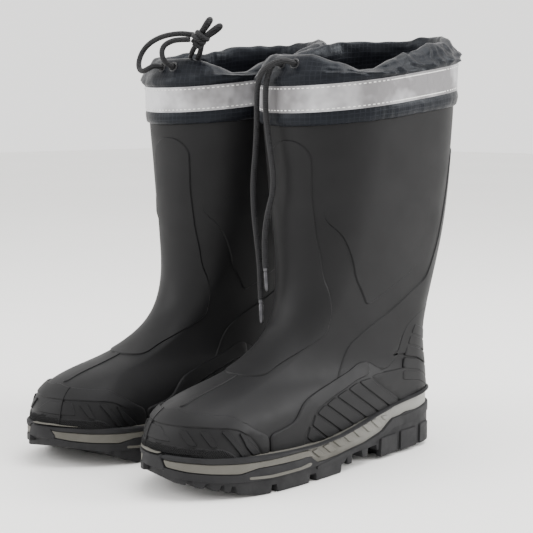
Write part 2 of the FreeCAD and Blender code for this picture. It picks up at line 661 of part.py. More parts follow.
END_LOWER = [(30, 7, 368), (24.5, 10.5, 360.5), (18.5, 12, 354)]
KNOT_PLACE = (32, 2, 373)
BIGHT_HEADING = Vector(0.62, 0.42, 0.66)


def aglet(name, points):
    """A metal tip in line with a cord's end."""
    heading = Vector(points[-1] - points[-2]).normalize()
    return rod(name, points[-1], heading, size("aglet_diameter") / 2, size("aglet_length"))


cords = {}
aglets = {"left": [], "right": []}
for name, route, side, middle in (
        ("cord_tail_outer", TAIL_OUTER, "left", LEFT_X), ("cord_tail_inner", TAIL_INNER, "left", LEFT_X),
        ("cord_loop_outer", LOOP_OUTER, "right", RIGHT_X), ("cord_loop_inner", LOOP_INNER, "right", RIGHT_X),
        ("cord_end_upper", END_UPPER, "right", RIGHT_X), ("cord_end_lower", END_LOWER, "right", RIGHT_X)):
    points = placed(route, middle)
    cords[f"{side}_{name}"] = cord_tube(name, points, cord_radius)
    if name in ("cord_tail_outer", "cord_tail_inner", "cord_end_upper", "cord_end_lower"):
        aglets[side].append(aglet(f"{name}_tip", points))

knot_centre = placed([KNOT_PLACE], RIGHT_X)[0]
knot_barrel = rod("knot_barrel", knot_centre - BIGHT_HEADING * 8, BIGHT_HEADING, 9.5, 16)
bight_pair = rod("bight_pair", knot_centre, BIGHT_HEADING, 6.5, 24)
knot_solid = doc.addObject("Part::MultiFuse", "knot_solid")
knot_solid.Shapes = [knot_barrel, bight_pair]

# ------------------------------------------------------- sub-parts, each placed, checked and written

ONE_BOOT = {
    "outsole": outsole, "midsole": midsole, "shank": shank, "insole_board": insole_board,
    "upper_shell": upper_shell, "lining": lining, "footbed": footbed,
    "toe_cap": toe_cap, "vamp_ridge": vamp_ridge, "shin_guard": shin_guard,
    "outer_calf_panel": outer_calf_panel, "inner_calf_panel": inner_calf_panel, "back_stay": back_stay,
    "heel_counter": heel_counter, "outer_side_guard": outer_side_guard, "inner_side_guard": inner_side_guard,
    "cuff": cuff, "cuff_hem": cuff_hem, "reflective_tape": reflective_tape, "eyelets": eyelets,
    "drawcord_run": drawcord_run,
}
subparts = []
for name, piece in ONE_BOOT.items():
    piece.Label = f"right_{name}"
    piece.setExpression(".Placement.Base.x", "-sizes.boot_spacing / 2")
    piece.setExpression(".Placement.Base.y", "sizes.middle_shift")
    subparts.append(piece)
    mirrored = doc.addObject("Part::Mirroring", f"left_{name}")
    mirrored.Source = piece
    mirrored.Normal = Vector(1, 0, 0)
    mirrored.Label = f"left_{name}"
    subparts.append(mirrored)
doc.recompute()

knot_solid.Label = "right_knot"
subparts.append(knot_solid)
for name, tube in cords.items():
    tube.Label = name
    subparts.append(tube)
for side, tips in aglets.items():
    pair = doc.addObject("Part::Compound", f"{side}_aglet_pair")
    pair.Links = tips
    pair.Label = f"{side}_aglets"
    subparts.append(pair)
doc.recompute()

for thing in doc.Objects:
    if "Invalid" in thing.State or "Error" in thing.State:
        raise RuntimeError(f"{thing.Label} failed: {thing.State}")
for piece in subparts:
    if piece.Shape.isNull() or not piece.Shape.isValid():
        raise RuntimeError(f"{piece.Label} has no valid shape")
    if not piece.Shape.Solids:
        raise RuntimeError(f"{piece.Label} has no solid")

os.makedirs("parts", exist_ok=True)
for piece in subparts:
    piece.Shape.exportStep(f"parts/{piece.Label}.step")
    print(f"{piece.Label}: {len(piece.Shape.Solids)} solid(s), {piece.Shape.Volume / 1000:.1f} cm3")
print(len(subparts), "sub-parts")
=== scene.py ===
# %% [markdown]
# # Dressing a pair of insulated winter boots
# A winter work boot of this kind is a moulded rubber shell with thicker rubber pieces bonded on the toe,
# heel, shin and calf, a felt and fleece bootie inside, a foam midsole, a lugged outsole, and a nylon collar
# that a drawcord closes against snow. The frame gives every piece its real place and size. This lesson puts
# the visible surfaces on it, one kind of piece at a time.

# %% Load the fixed frame
import math

import bpy
import numpy as np
from mathutils import Matrix, Vector, noise


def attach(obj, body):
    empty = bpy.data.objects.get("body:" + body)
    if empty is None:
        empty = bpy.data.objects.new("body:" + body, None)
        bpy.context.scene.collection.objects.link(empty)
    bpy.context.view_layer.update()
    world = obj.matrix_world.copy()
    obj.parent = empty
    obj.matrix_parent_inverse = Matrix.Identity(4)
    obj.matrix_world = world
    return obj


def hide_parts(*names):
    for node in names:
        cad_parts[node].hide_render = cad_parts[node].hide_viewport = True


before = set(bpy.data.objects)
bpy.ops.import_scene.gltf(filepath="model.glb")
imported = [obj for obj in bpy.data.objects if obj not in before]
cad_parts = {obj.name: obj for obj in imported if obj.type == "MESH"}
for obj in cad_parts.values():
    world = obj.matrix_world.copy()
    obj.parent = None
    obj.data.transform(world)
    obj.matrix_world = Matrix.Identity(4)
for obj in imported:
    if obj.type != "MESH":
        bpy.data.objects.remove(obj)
bpy.context.view_layer.update()
MM = 0.001

# %% [markdown]
# Every operator works on what is selected, so a piece is picked up alone before it is shaped. These small
# helpers do that, read or set the places of a mesh's points in one go, and copy a small detail many times
# within its own mesh, which is quicker than making hundreds of objects.

# %% Picking pieces up


def put_down():
    """Leaves edit mode and selects nothing."""
    if bpy.context.mode != "OBJECT":
        bpy.ops.object.mode_set(mode="OBJECT")
    bpy.ops.object.select_all(action="DESELECT")


def pick_up(*pieces):
    """Selects only these pieces; the first one is the active one."""
    put_down()
    for piece in pieces:
        piece.select_set(True)
    bpy.context.view_layer.objects.active = pieces[0]


def open_up(piece, kind="FACE"):
    """Opens one piece in edit mode with everything on it selected."""
    pick_up(piece)
    bpy.ops.object.mode_set(mode="EDIT")
    bpy.ops.mesh.select_mode(type=kind)
    bpy.ops.mesh.select_all(action="SELECT")


def repeat(piece, count):
    """Copies a small mesh within itself until it is there count times, one after the other."""
    open_up(piece)
    for _ in range(count - 1):
        bpy.ops.mesh.duplicate_move()
    put_down()


print("picking up: ready")

# %% Reading and moving points, and finishing with a modifier


def points_of(piece):
    """The places of a mesh's points, as rows of x, y, z in metres."""
    flat = np.empty(len(piece.data.vertices) * 3)
    piece.data.vertices.foreach_get("co", flat)
    return flat.reshape(-1, 3)


def move_points(piece, places):
    piece.data.vertices.foreach_set("co", np.asarray(places, float).ravel())
    piece.data.update()


def smooth(piece, degrees=40):
    pick_up(piece)
    bpy.ops.object.shade_smooth_by_angle(angle=math.radians(degrees))


def harden(piece, kind, **settings):
    """Adds a modifier and applies it."""
    pick_up(piece)
    modifier = piece.modifiers.new(kind.lower(), kind)
    for key, value in settings.items():
        setattr(modifier, key, value)
    bpy.ops.object.modifier_apply(modifier=modifier.name)


print("helpers ready")

# %% [markdown]
# A rubber boot is dipped or moulded on a last, so its outside is one smooth body. A shoemaker describes it by
# sections across the leg: how far forward and back each one reaches, and how round its front, back and sides
# are. Smooth curves through these sections give the place and the outward direction of any point of the
# rubber, so bonded pieces can be cut flat as patterns and then laid on it.

# %% The last: sections of the leg from sole to top
SECTIONS = np.array([
    # height, front, front round, back, back round, side round, share of the top's slope
    (20, -159, 50, 165, 42, 2000, 0), (36, -158.4, 50, 164.4, 42, 2000, 0), (46, -156.1, 49, 163, 42, 1600, 0),
    (56, -152, 46, 161.6, 41, 1200, 0), (68, -137, 38, 160, 41, 900, 0), (80, -98, 30, 159, 40, 800, 0),
    (96, -50, 28, 157, 40, 650, 0), (118, -19.3, 31, 158.6, 41, 500, 0), (150, -4.4, 39, 167, 44, 400, 0),
    (205, -4.5, 50, 179, 52, 400, 0), (275, -7.6, 62, 182.5, 64, 400, 0.7), (300, -9.2, 65.5, 183, 67.5, 400, 1),
    (333, -10.5, 67.5, 183, 69.5, 400, 1)], float)
SLOPE = math.radians(6.3)
PIVOT = 80.0
HALF_GIRTH = 250.0
MIDDLE_X, MIDDLE_Y = 76.0, -10.3
FEATHER = np.array([  # along, height: where the rubber ends and the midsole begins
    (-190, 37), (-150, 34.5), (-110, 32), (-60, 30.5), (-20, 30), (7, 33), (36, 38), (67, 43.5), (91, 47),
    (120, 49.5), (150, 51), (215, 53)], float)
TUCK_FROM, TUCK_OVER, TUCK_DEPTH = 0.9, 1.6, 5.5  # below the feather line the rubber tucks in behind the midsole
FRONT_SHARE, SIDE_SHARE, BACK_FROM = 0.3, 0.4, 0.7  # shares of half the girth on the front, side and back arcs
TOP_HEIGHT = 333
print("last:", len(SECTIONS), "sections")

# %% Smooth curves through the sections


def smooth_curve(knots, values):
    """A natural cubic curve through values at the knots, as a function."""
    gap = np.diff(knots)
    count = len(knots)
    system = np.eye(count)
    pull = np.zeros(values.shape)
    for i in range(1, count - 1):
        system[i, i - 1:i + 2] = gap[i - 1], 2 * (gap[i - 1] + gap[i]), gap[i]
        pull[i] = 6 * ((values[i + 1] - values[i]) / gap[i] - (values[i] - values[i - 1]) / gap[i - 1])
    bend = np.linalg.solve(system, pull)

    def at(where):
        where = np.clip(np.asarray(where, float), knots[0], knots[-1])
        i = np.clip(np.searchsorted(knots, where) - 1, 0, count - 2)
        g = gap[i][:, None]
        b = (where - knots[i])[:, None] / g
        a = 1 - b
        return (a * values[i] + b * values[i + 1]
                + ((a ** 3 - a) * bend[i] + (b ** 3 - b) * bend[i + 1]) * g * g / 6)
    return at


reach = np.r_[0, np.cumsum(np.hypot(np.diff(SECTIONS[:, 0]), np.diff(SECTIONS[:, 1])))]
section_at = smooth_curve(reach, SECTIONS)
REACH_TABLE = np.linspace(0, reach[-1], 3000)
HEIGHT_TABLE = np.maximum.accumulate(section_at(REACH_TABLE)[:, 0])


def reach_of(height):
    return np.interp(height, HEIGHT_TABLE, REACH_TABLE)


print("last: reach up the front", round(float(reach[-1])), "mm")

# %% The three arcs of a section


def side_arc(front_c, back_c, front_r, back_r, side_r):
    """The centre of the side's arc, and the angles at which it meets the front's and the back's."""
    span = back_c - front_c
    a, c = side_r - front_r, side_r - back_r
    t = (a * a - c * c + span * span) / (2 * span)
    cx, cy = -np.sqrt(a * a - t * t), front_c + t
    return cx, cy, np.arctan2(front_c - cy, -cx), np.arctan2(back_c - cy, -cx)


def girth(row, turn, out=0.0):
    """Points round sections: turn 0 is the front, +1 and -1 the back; out grows the section."""
    height, front, front_round, back, back_round, side, share = row.T
    front_c, back_c = front + front_round, back - back_round
    fr, br, sr = front_round + out, back_round + out, side + out
    cx, cy, start, stop = side_arc(front_c, back_c, fr, br, sr)
    turn = (np.asarray(turn) + 1) % 2 - 1
    part = np.abs(turn)
    one = -np.pi / 2 + (start + np.pi / 2) * part / FRONT_SHARE
    two = start + (stop - start) * (part - FRONT_SHARE) / SIDE_SHARE
    three = stop + (np.pi / 2 - stop) * (part - BACK_FROM) / FRONT_SHARE
    arcs = [part <= FRONT_SHARE, part <= BACK_FROM]
    x = np.select(arcs, [fr * np.cos(one), cx + sr * np.cos(two)], br * np.cos(three))
    y = np.select(arcs, [front_c + fr * np.sin(one), cy + sr * np.sin(two)], back_c + br * np.sin(three))
    x = x * np.where(turn < 0, -1, 1)
    lean = SLOPE * share
    return np.c_[x, PIVOT + (y - PIVOT) * np.cos(lean), height + (y - PIVOT) * np.sin(lean)]


print("front of the last at the feather line:", np.round(girth(section_at([reach_of(37)]), [0.0])[0], 1), "mm")

# %% Any point of the rubber


def rubber(p, q, out=0.0):
    """A point of the left boot's rubber, in mm: p runs round the leg, q is the reach up the last."""
    p, q = np.asarray(p, float), np.asarray(q, float)
    here = girth(section_at(q), p / HALF_GIRTH)
    along = girth(section_at(q), (p + 0.5) / HALF_GIRTH) - girth(section_at(q), (p - 0.5) / HALF_GIRTH)
    low, high = np.maximum(q - 0.5, 0), np.minimum(q + 0.5, reach[-1])
    up = girth(section_at(high), p / HALF_GIRTH) - girth(section_at(low), p / HALF_GIRTH)
    outward = np.cross(along, up)
    outward /= np.linalg.norm(outward, axis=1)[:, None]
    under = np.interp(here[:, 1], FEATHER[:, 0], FEATHER[:, 1]) - TUCK_FROM - here[:, 2]
    tuck = TUCK_DEPTH * np.clip(under / TUCK_OVER, 0, 1)
    return here + outward * (np.broadcast_to(out, p.shape) - tuck)[:, None] + (MIDDLE_X, MIDDLE_Y, 0)


def rubber_by_height(p, h, out=0.0):
    return rubber(p, reach_of(h), out)


print("heel of the last:", np.round(rubber([HALF_GIRTH], [0.0])[0], 1), "mm")

# %% From a side view to a pattern


def seen_from_side(points, side=1):
    """Turns side-view places (along, up) into pattern places (p, height) on one side of the leg."""
    points = np.array(points, float)
    height = points[:, 1].copy()
    for _ in range(8):
        row = section_at(reach_of(height))
        points[:, 0] = np.clip(points[:, 0], row[:, 1] - 3, row[:, 3] + 3)
        height = points[:, 1] - (points[:, 0] - PIVOT) * np.sin(SLOPE * row[:, 6])
    along = PIVOT + (points[:, 0] - PIVOT) / np.cos(SLOPE * row[:, 6])
    height, front, front_round, back, back_round, sr, share = row.T
    front_c, back_c = front + front_round, back - back_round
    cx, cy, start, stop = side_arc(front_c, back_c, front_round, back_round, sr)
    one = np.arcsin(np.clip((along - front_c) / front_round, -1, 1))
    two = np.arcsin(np.clip((along - cy) / sr, -1, 1))
    three = np.arcsin(np.clip((along - back_c) / back_round, -1, 1))
    turn = np.select([one < start, two < stop],
                     [FRONT_SHARE * (one + np.pi / 2) / (start + np.pi / 2),
                      FRONT_SHARE + SIDE_SHARE * (two - start) / (stop - start)],
                     BACK_FROM + FRONT_SHARE * (three - stop) / (np.pi / 2 - stop))
    return np.c_[side * turn * HALF_GIRTH, height]


print("ankle in the pattern:", np.round(seen_from_side([(80, 100)])[0], 1), "mm")

# %% [markdown]
# The camera stands in front of the boots and a little to their left, low down. A long lens from 1.3 m keeps
# the sizes true. The floor is plain and pale and the light is soft: one broad light above, one at the front
# and a smaller one behind that draws a rim on the rubber.

# %% Camera, floor and lights


def add_lamp(name, place, size, power, aim=(0, 0.03, 0.2)):
    data = bpy.data.lights.new(name, "AREA")
    data.shape = "DISK"
    data.size = size
    data.energy = power
    lamp = bpy.data.objects.new(name, data)
    bpy.context.scene.collection.objects.link(lamp)
    lamp.location = place
    lamp.rotation_euler = (Vector(aim) - Vector(place)).to_track_quat("-Z", "Y").to_euler()
    return lamp


AIM = Vector((0, 0.0347, 0.1635))
ROUND, UP, AWAY = math.radians(44), math.radians(6.4), 1.34
back_way = Vector((math.sin(ROUND) * math.cos(UP), -math.cos(ROUND) * math.cos(UP), math.sin(UP)))
camera = bpy.data.objects.new("camera", bpy.data.cameras.new("camera"))
bpy.context.scene.collection.objects.link(camera)
camera.data.sensor_width = 36
camera.data.lens = 97.26
camera.location = AIM + back_way * AWAY
camera.rotation_euler = (-back_way).to_track_quat("-Z", "Y").to_euler()
bpy.context.scene.camera = camera

put_down()
bpy.ops.mesh.primitive_plane_add(size=14, location=(0, 0, -0.0004))
floor = bpy.context.object
floor.name = "floor"
bpy.ops.object.transform_apply(location=True, rotation=False, scale=False)
lamps = [add_lamp("broad_light_above", (0.35, 0.25, 1.9), 1.5, 34),
         add_lamp("window_light_front", (-1.3, -1.6, 1.2), 1.2, 24),
         add_lamp("rim_light_behind", (1.5, 1.4, 1.1), 0.9, 40)]
print("camera at", [round(v, 3) for v in camera.location])

# %% [markdown]
# The rubber shell is one skin. By hand it would be a ring of points extruded upward again and again while each
# new ring is scaled to the next section; here the rings go to the last's own sections. Solidify then
# gives the skin its 2.5 mm wall, inward, so the outside keeps its measured place.

# %% The rubber shell, extruded ring by ring
RING = 128
LEVELS = np.r_[np.linspace(reach_of(24), reach_of(60), 10), np.linspace(reach_of(60), reach_of(150), 44)[1:],
               np.linspace(reach_of(150), reach[-1], 34)[1:]]


def rings_piece(name, rings):
    """A tube of rings: a circle is extruded once for each ring, then each point goes to its ring's place."""
    around = len(rings[0])
    put_down()
    bpy.ops.mesh.primitive_circle_add(vertices=around, radius=10, fill_type="NOTHING")
    piece = bpy.context.object
    piece.name = name
    open_up(piece, "EDGE")
    for _ in rings[1:]:
        bpy.ops.mesh.extrude_region_move(TRANSFORM_OT_translate={"value": (0, 0, 1)})
    bpy.ops.object.mode_set(mode="OBJECT")
    plain = points_of(piece)
    level = np.rint(plain[:, 2]).astype(int)
    column = np.rint(np.arctan2(plain[:, 0], -plain[:, 1]) / (2 * np.pi) * around).astype(int) % around
    move_points(piece, np.array(rings)[level, column] * MM)
    for word, numbers in (("ring", level), ("column", column)):
        piece.data.attributes.new(word, "INT", "POINT").data.foreach_set("value", numbers)
    open_up(piece)
    bpy.ops.mesh.remove_doubles(threshold=1e-6)
    bpy.ops.mesh.normals_make_consistent(inside=False)
    put_down()
    return piece


turns = np.linspace(0, 1, RING, endpoint=False) * 2 * HALF_GIRTH
shell = rings_piece("left_rubber_shell", [rubber(turns, np.full(RING, q)) for q in LEVELS])
first = points_of(shell)
print("shell:", len(shell.data.vertices), "points,", len(shell.data.polygons), "faces, top at",
      round(first[:, 2].max(), 4))

# %% [markdown]
# The toe cap, shin guard, calf panels, back stay, heel counter and side guards are sheets of thicker rubber
# bonded on the shell. Each is cut flat as an n-gon, given a sunk skirt by one extrude and a soft raised
# shoulder by two insets, cut into a fine grid by bisect so that it can bend, and then laid on the last.

# %% Softening and dividing a pattern's outline
BROAD = ((0.3, 4.0), (0.3, 1.6))  # how corners are cut: share of the run, and no more than so many mm
MIDDLING = ((0.3, 2.0), (0.3, 0.8))
FINE = ((0.3, 1.2), (0.3, 0.5))
CRISP = ((0.3, 0.6), (0.3, 0.3))
CROWDED = 0.9


def soften(outline, cuts=BROAD):
    """Cuts the corners of a closed pattern outline, each by a share of its runs and no more than a length."""
    line = np.array(outline, float)
    for share, most in cuts:
        fresh = []
        for a, b in zip(line, np.roll(line, -1, axis=0)):
            run = np.linalg.norm(b - a)
            if run < 1e-6:
                continue
            back = min(share * run, most) / run
            fresh += [a + (b - a) * back, b - (b - a) * back]
        line = np.array(fresh)
    return line


def evenly(outline, step):
    """Adds points so that no run of the outline is longer than the step, and drops crowded ones."""
    placed = []
    for a, b in zip(outline, np.roll(outline, -1, axis=0)):
        run = np.linalg.norm(b - a)
        count = max(1, int(math.ceil(run / step)))
        placed += [a + (b - a) * k / count for k in range(count)]
    kept = [placed[0]]
    for one in placed[1:]:
        if np.linalg.norm(one - kept[-1]) > CROWDED:
            kept.append(one)
    return np.array(kept if np.linalg.norm(kept[-1] - kept[0]) > CROWDED else kept[:-1])


print("a softened square has", len(soften([(0, 0), (50, 0), (50, 50), (0, 50)])), "points")

# %% A pattern piece: cut flat, raised, gridded and laid on the rubber
INSETS = ((0.4, 0.6), (0.6, 0.4))  # shares of the shoulder's width and of the rise


def pattern_piece(name, outline, rise=1.5, shoulder=1.0, step=5.0, lay=rubber_by_height, base=0.0,
                  sunk=1.2, cuts=BROAD, fade=None):
    """One bonded piece. The outline is in pattern mm; fade = (from, to) lets it sink away up the pattern."""
    line = evenly(soften(outline, cuts), step)
    turn = np.roll(line, -1, axis=0)
    if np.sum(line[:, 0] * turn[:, 1] - turn[:, 0] * line[:, 1]) < 0:
        line = line[::-1]
    put_down()
    bpy.ops.mesh.primitive_circle_add(vertices=len(line), radius=10, fill_type="NGON")
    piece = bpy.context.object
    piece.name = name
    order = np.argsort(np.arctan2(*points_of(piece)[:, 1::-1].T) % (2 * np.pi))
    flat = np.empty((len(line), 3))
    flat[order] = np.c_[line, np.full(len(line), base - sunk)]
    move_points(piece, flat)
    open_up(piece)
    bpy.ops.mesh.extrude_region_move(TRANSFORM_OT_translate={"value": (0, 0, sunk)})
    for width, depth in INSETS:
        bpy.ops.mesh.inset(thickness=width * shoulder, depth=depth * rise, use_even_offset=False)
    for axis in (0, 1):
        low, high = line[:, axis].min(), line[:, axis].max()
        for cut in np.arange(low + step * 0.73, high, step):
            bpy.ops.mesh.select_all(action="SELECT")
            plane, way = [0, 0, 0], [0, 0, 0]
            plane[axis], way[axis] = cut, 1
            bpy.ops.mesh.bisect(plane_co=plane, plane_no=way)
    bpy.ops.object.mode_set(mode="OBJECT")
    flat = points_of(piece)
    if fade:
        flat[:, 2] -= (rise + 0.4) * np.clip((flat[:, 1] - fade[0]) / (fade[1] - fade[0]), 0, 1)
    move_points(piece, lay(flat[:, 0], flat[:, 1], flat[:, 2]) * MM)
    smooth(piece, 26)
    return piece


print("patterns: ready to cut")

# %% Patterns that cross the front or the back


def both_sides(side_points):
    """A pattern that crosses the front: the outer side's points, and their mirror on the inner side."""
    outer = seen_from_side(side_points)
    return np.vstack([outer, outer[::-1] * (-1, 1)])


def over_back(side_points):
    """A pattern that crosses the back: the outer side's points, and their mirror past the back's middle."""
    outer = seen_from_side(side_points)
    return np.vstack([outer, (2 * HALF_GIRTH, 0) + outer[::-1] * (-1, 1)])


def by_reach(pattern):
    return np.c_[pattern[:, 0], reach_of(pattern[:, 1])]


def feather_run(start, stop, drop=3.0):
    """The lower edge of a bonded piece, tucked a little below the line where the midsole takes over."""
    along = np.linspace(start, stop, 12)
    return list(zip(along, np.interp(along, FEATHER[:, 0], FEATHER[:, 1]) - drop))


print("feather line at the toe:", feather_run(-83, -165)[-1])

# %% Edges of the bonded pieces, as side-view places (along, up)
CAP_EDGE = [(-190, 68), (-139, 66.5), (-115, 64.5), (-106, 59), (-100, 54), (-92, 49), (-83, 45)]
CAP_BAND_FOOT = [(-83, 28), (-92, 28), (-94, 35), (-100, 43), (-108, 50.5), (-119, 55), (-140, 57), (-190, 57)]
GUARD_EDGE = [(-82, 45), (-70, 47), (-56, 50), (-50, 53), (-43, 60), (-35, 66), (-23, 70), (7, 77), (30, 83),
              (40, 88), (54, 88), (60, 86), (71, 79)]
COUNTER_EDGE = [(71, 79), (89, 85), (94, 92), (98, 100), (102, 109), (109, 117), (123, 125), (146, 131), (215, 135)]
SHIN_EDGE = [(-30, 283), (-7, 282), (-3, 272), (-1, 234), (3, 198), (8, 165), (13, 130), (12, 119), (0, 111),
             (-21, 103), (-41, 95), (-58, 88), (-66, 87)]
CALF_EDGE = [(4, 219), (8, 211), (16, 203), (21, 195), (34, 163), (46, 146), (51, 137), (58, 140), (91, 157),
             (107, 165), (115, 178), (118, 201), (120, 227), (118, 262), (60, 268), (10, 250)]
STAY_EDGE = [(12, 78), (14, 81), (21, 89), (26, 96), (33, 104), (43, 110), (57, 118), (81, 129), (105, 143),
             (128, 155), (133, 163), (139, 177), (144, 195), (147, 221), (150, 249), (152, 272), (215, 282)]
FIELD_EDGE = np.array([  # the guard's ribbed field, as pattern places (round, height)
    (142, 76), (134.3, 73.8), (128.8, 69.3), (122.1, 65.2), (116.1, 60.7), (113, 58.5), (110.6, 55.2),
    (108.5, 50.5), (107.5, 46.2), (105.5, 42), (104.7, 36.6), (104, 26)], float)
RIDGE = np.array([(-5.0, 69), (5.0, 69), (6.5, 84), (7.5, 93), (-7.5, 93), (-6.5, 84)], float)
BOTH = (("outer", 1), ("inner", -1))
print("edges:", len(CAP_EDGE), len(GUARD_EDGE), len(COUNTER_EDGE), len(SHIN_EDGE), len(CALF_EDGE), len(STAY_EDGE))

# %% [markdown]
# The toe cap is one low piece with a second, slightly higher band round its top, as on the real mould. A
# narrow ridge runs from it up the vamp to the shin guard. The calf panels sink away at their tops, so they
# melt into the shaft there.

# %% Toe cap, vamp ridge, shin guard and calf panels
toe_cap = pattern_piece("left_rubber_toe_cap", by_reach(both_sides(CAP_EDGE + feather_run(-83, -165))),
                        rise=0.7, lay=rubber)
cap_band = pattern_piece("left_rubber_toe_band", by_reach(both_sides(CAP_EDGE + CAP_BAND_FOOT)),
                         rise=0.9, shoulder=0.9, base=0.7, lay=rubber)
vamp_ridge = pattern_piece("left_rubber_vamp_ridge", by_reach(RIDGE), rise=0.9, step=4, lay=rubber)
shin_guard = pattern_piece("left_rubber_shin_guard", by_reach(both_sides(SHIN_EDGE)), rise=1.2, shoulder=1.1,
                           lay=rubber)
calf_pieces = [pattern_piece(f"left_rubber_{word}_calf_panel", seen_from_side(CALF_EDGE, side), rise=1.1,
                             shoulder=1.1, fade=(212, 236)) for word, side in BOTH]
print("front pieces:", [len(o.data.polygons) for o in (toe_cap, cap_band, vamp_ridge, shin_guard, *calf_pieces)])

# %% Back stay and heel counter
lower = COUNTER_EDGE[::-1] + GUARD_EDGE[8:-1][::-1] + GUARD_EDGE[7:8]
outer_stay = seen_from_side(STAY_EDGE)
under_stay = seen_from_side([(y, z - 3) for y, z in lower])
other = (2 * HALF_GIRTH, 0) + np.vstack([outer_stay, under_stay])[::-1] * (-1, 1)
stay_outline = np.vstack([outer_stay, other[len(under_stay):], other[:len(under_stay)], under_stay])
back_stay = pattern_piece("left_rubber_back_stay", stay_outline, rise=0.9)
heel_counter = pattern_piece("left_rubber_heel_counter", over_back(
    [(54, 88), (60, 86)] + COUNTER_EDGE + feather_run(200, 93) + [(91, 49), (67, 62.5), (56, 70.5), (52, 76)]),
    rise=1.1, shoulder=1.1)
print("back pieces:", len(back_stay.data.polygons), len(heel_counter.data.polygons))

# %% [markdown]
# A side guard is a ribbed field inside a raised frame. The frame is its own pattern piece on the guard, so
# the field stays a step lower than the rubber round it.

# %% Side guards and their frames
guards, guard_frames = [], []
for word, side in BOTH:
    guards.append(pattern_piece(f"left_rubber_{word}_side_guard", seen_from_side(
        GUARD_EDGE + [(92, 60)] + feather_run(92, -81), side), rise=0.8))
    frame_edge = np.vstack([seen_from_side([(-81, 28)] + GUARD_EDGE[:-2], side), FIELD_EDGE * (side, 1)])
    guard_frames.append(pattern_piece(f"left_rubber_{word}_guard_frame", frame_edge, rise=1.0, base=0.8,
                                      cuts=MIDDLING))
print("guards:", [len(o.data.polygons) for o in guards + guard_frames])

# %% [markdown]
# A knurled band runs round the toe for grip on a snowmobile's pedal or a ladder. It is a low pattern piece
# with rows of tiny studs. A stud is a four-sided cone: one is modelled, copied in edit mode, and the copies
# are set out in offset rows inside the band's edge.

# %% Knurled toe band and its studs
KNURL_TOP = [(0, 44.5), (13, 43.1), (26, 42.4), (40, 41.7), (53.7, 40.7), (60, 37.6), (74, 27.2)]
KNURL_FOOT = [(68, 26), (55, 27), (38, 28.5), (20, 30), (0, 31)]
STUD_PITCH, STUD_ROW, STUD_OUT = 1.7, 1.25, 1.35
knurl_side = np.array(KNURL_TOP + KNURL_FOOT, float)
knurled_band = pattern_piece(
    "left_rubber_knurled_band", by_reach(np.vstack([knurl_side, knurl_side[-2:0:-1] * (-1, 1)])), rise=0.45,
    shoulder=0.6, base=0.7, step=4, lay=rubber, cuts=((0.3, 1.5), (0.3, 0.6)))
band_top, band_foot = np.array(KNURL_TOP).T, np.array(KNURL_FOOT[::-1] + [(74, 26.5)]).T
in_band = [(p, h) for row, h in enumerate(np.arange(29.5, 44.4, STUD_ROW))
           for p in np.arange(-72 + (row % 2) * STUD_PITCH / 2, 72.1, STUD_PITCH)
           if np.interp(abs(p), *band_foot) + 1.5 < h < np.interp(abs(p), *band_top) - 0.9]
put_down()
bpy.ops.mesh.primitive_cone_add(vertices=4, radius1=0.85, radius2=0.3, depth=0.8)
studs_piece = bpy.context.object
studs_piece.name = "left_toe_studs"
one_stud = points_of(studs_piece)
repeat(studs_piece, len(in_band))
every = np.vstack([one_stud + (p, reach_of(h), STUD_OUT) for p, h in in_band])
move_points(studs_piece, rubber(every[:, 0], every[:, 1], every[:, 2]) * MM)
print("studs:", len(in_band))

# %% [markdown]
# The toe cap, the side guards and the heel counter carry moulded ribs. Each rib is a narrow pattern piece of
# its own, laid on top of the rubber under it, so it keeps a soft edge all round. A small shield and the thin
# line where the two halves of the mould met mark the toe's middle, and a lug on the heel helps to kick a boot
# off.

# %% Ribs on the toe and slats in the side guards
TOE_RIBS = [  # pattern places (round, height): two on the top edge, two at the foot
    [(16.6, 54.3), (24.5, 54.6), (34.4, 43.2), (26.9, 43.6)],
    [(34.8, 54.5), (43.1, 54.6), (50.2, 41.8), (44.7, 42.1)],
    [(53, 54.2), (59.7, 54.0), (78.6, 26.6), (74.3, 27.2)],
    [(69, 51.8), (73.5, 50), (81.2, 34), (83.2, 25.5), (80.5, 26)]]
GUARD_LINES = [  # the grooves between slats, from the field's edge to its foot
    ((104.7, 36.6), (111.4, 25)), ((107.5, 46.2), (116.5, 30.5)), ((110.6, 55.2), (124, 34)),
    ((116.1, 60.7), (131, 37)), ((122.1, 65.2), (138.7, 40)), ((128.8, 69.3), (146.5, 41.8)),
    ((135.1, 73.2), (154.6, 43)), ((143, 74.5), (161.5, 45))]
HALF_GROOVE, FROM_FRAME = 0.45, 1.1
ribs = []


def rib(name, outline, rise, shoulder, base=0.7, sunk=0.8, cuts=FINE, lay=rubber):
    ribs.append(pattern_piece(name, outline, rise, shoulder, 4, lay, base, sunk, cuts))


for side in (1, -1):
    for number, outline in enumerate(TOE_RIBS[0 if side > 0 else 1:]):
        rib(f"toe_rib_{number}_{side}", by_reach(np.array(outline) * (side, 1)), 1.2, 0.5)
    for number, (one, two) in enumerate(zip(GUARD_LINES, GUARD_LINES[1:])):
        quad = np.array([one[0], two[0], two[1], one[1]], float)
        quad[:, 0] += (HALF_GROOVE, -HALF_GROOVE, -HALF_GROOVE, HALF_GROOVE)
        quad[:2, 1] -= FROM_FRAME
        rib(f"guard_slat_{number}_{side}", quad * (side, 1), 0.95, 0.5, base=0.8, cuts=CRISP,
            lay=rubber_by_height)
print("toe ribs and slats:", len(ribs))

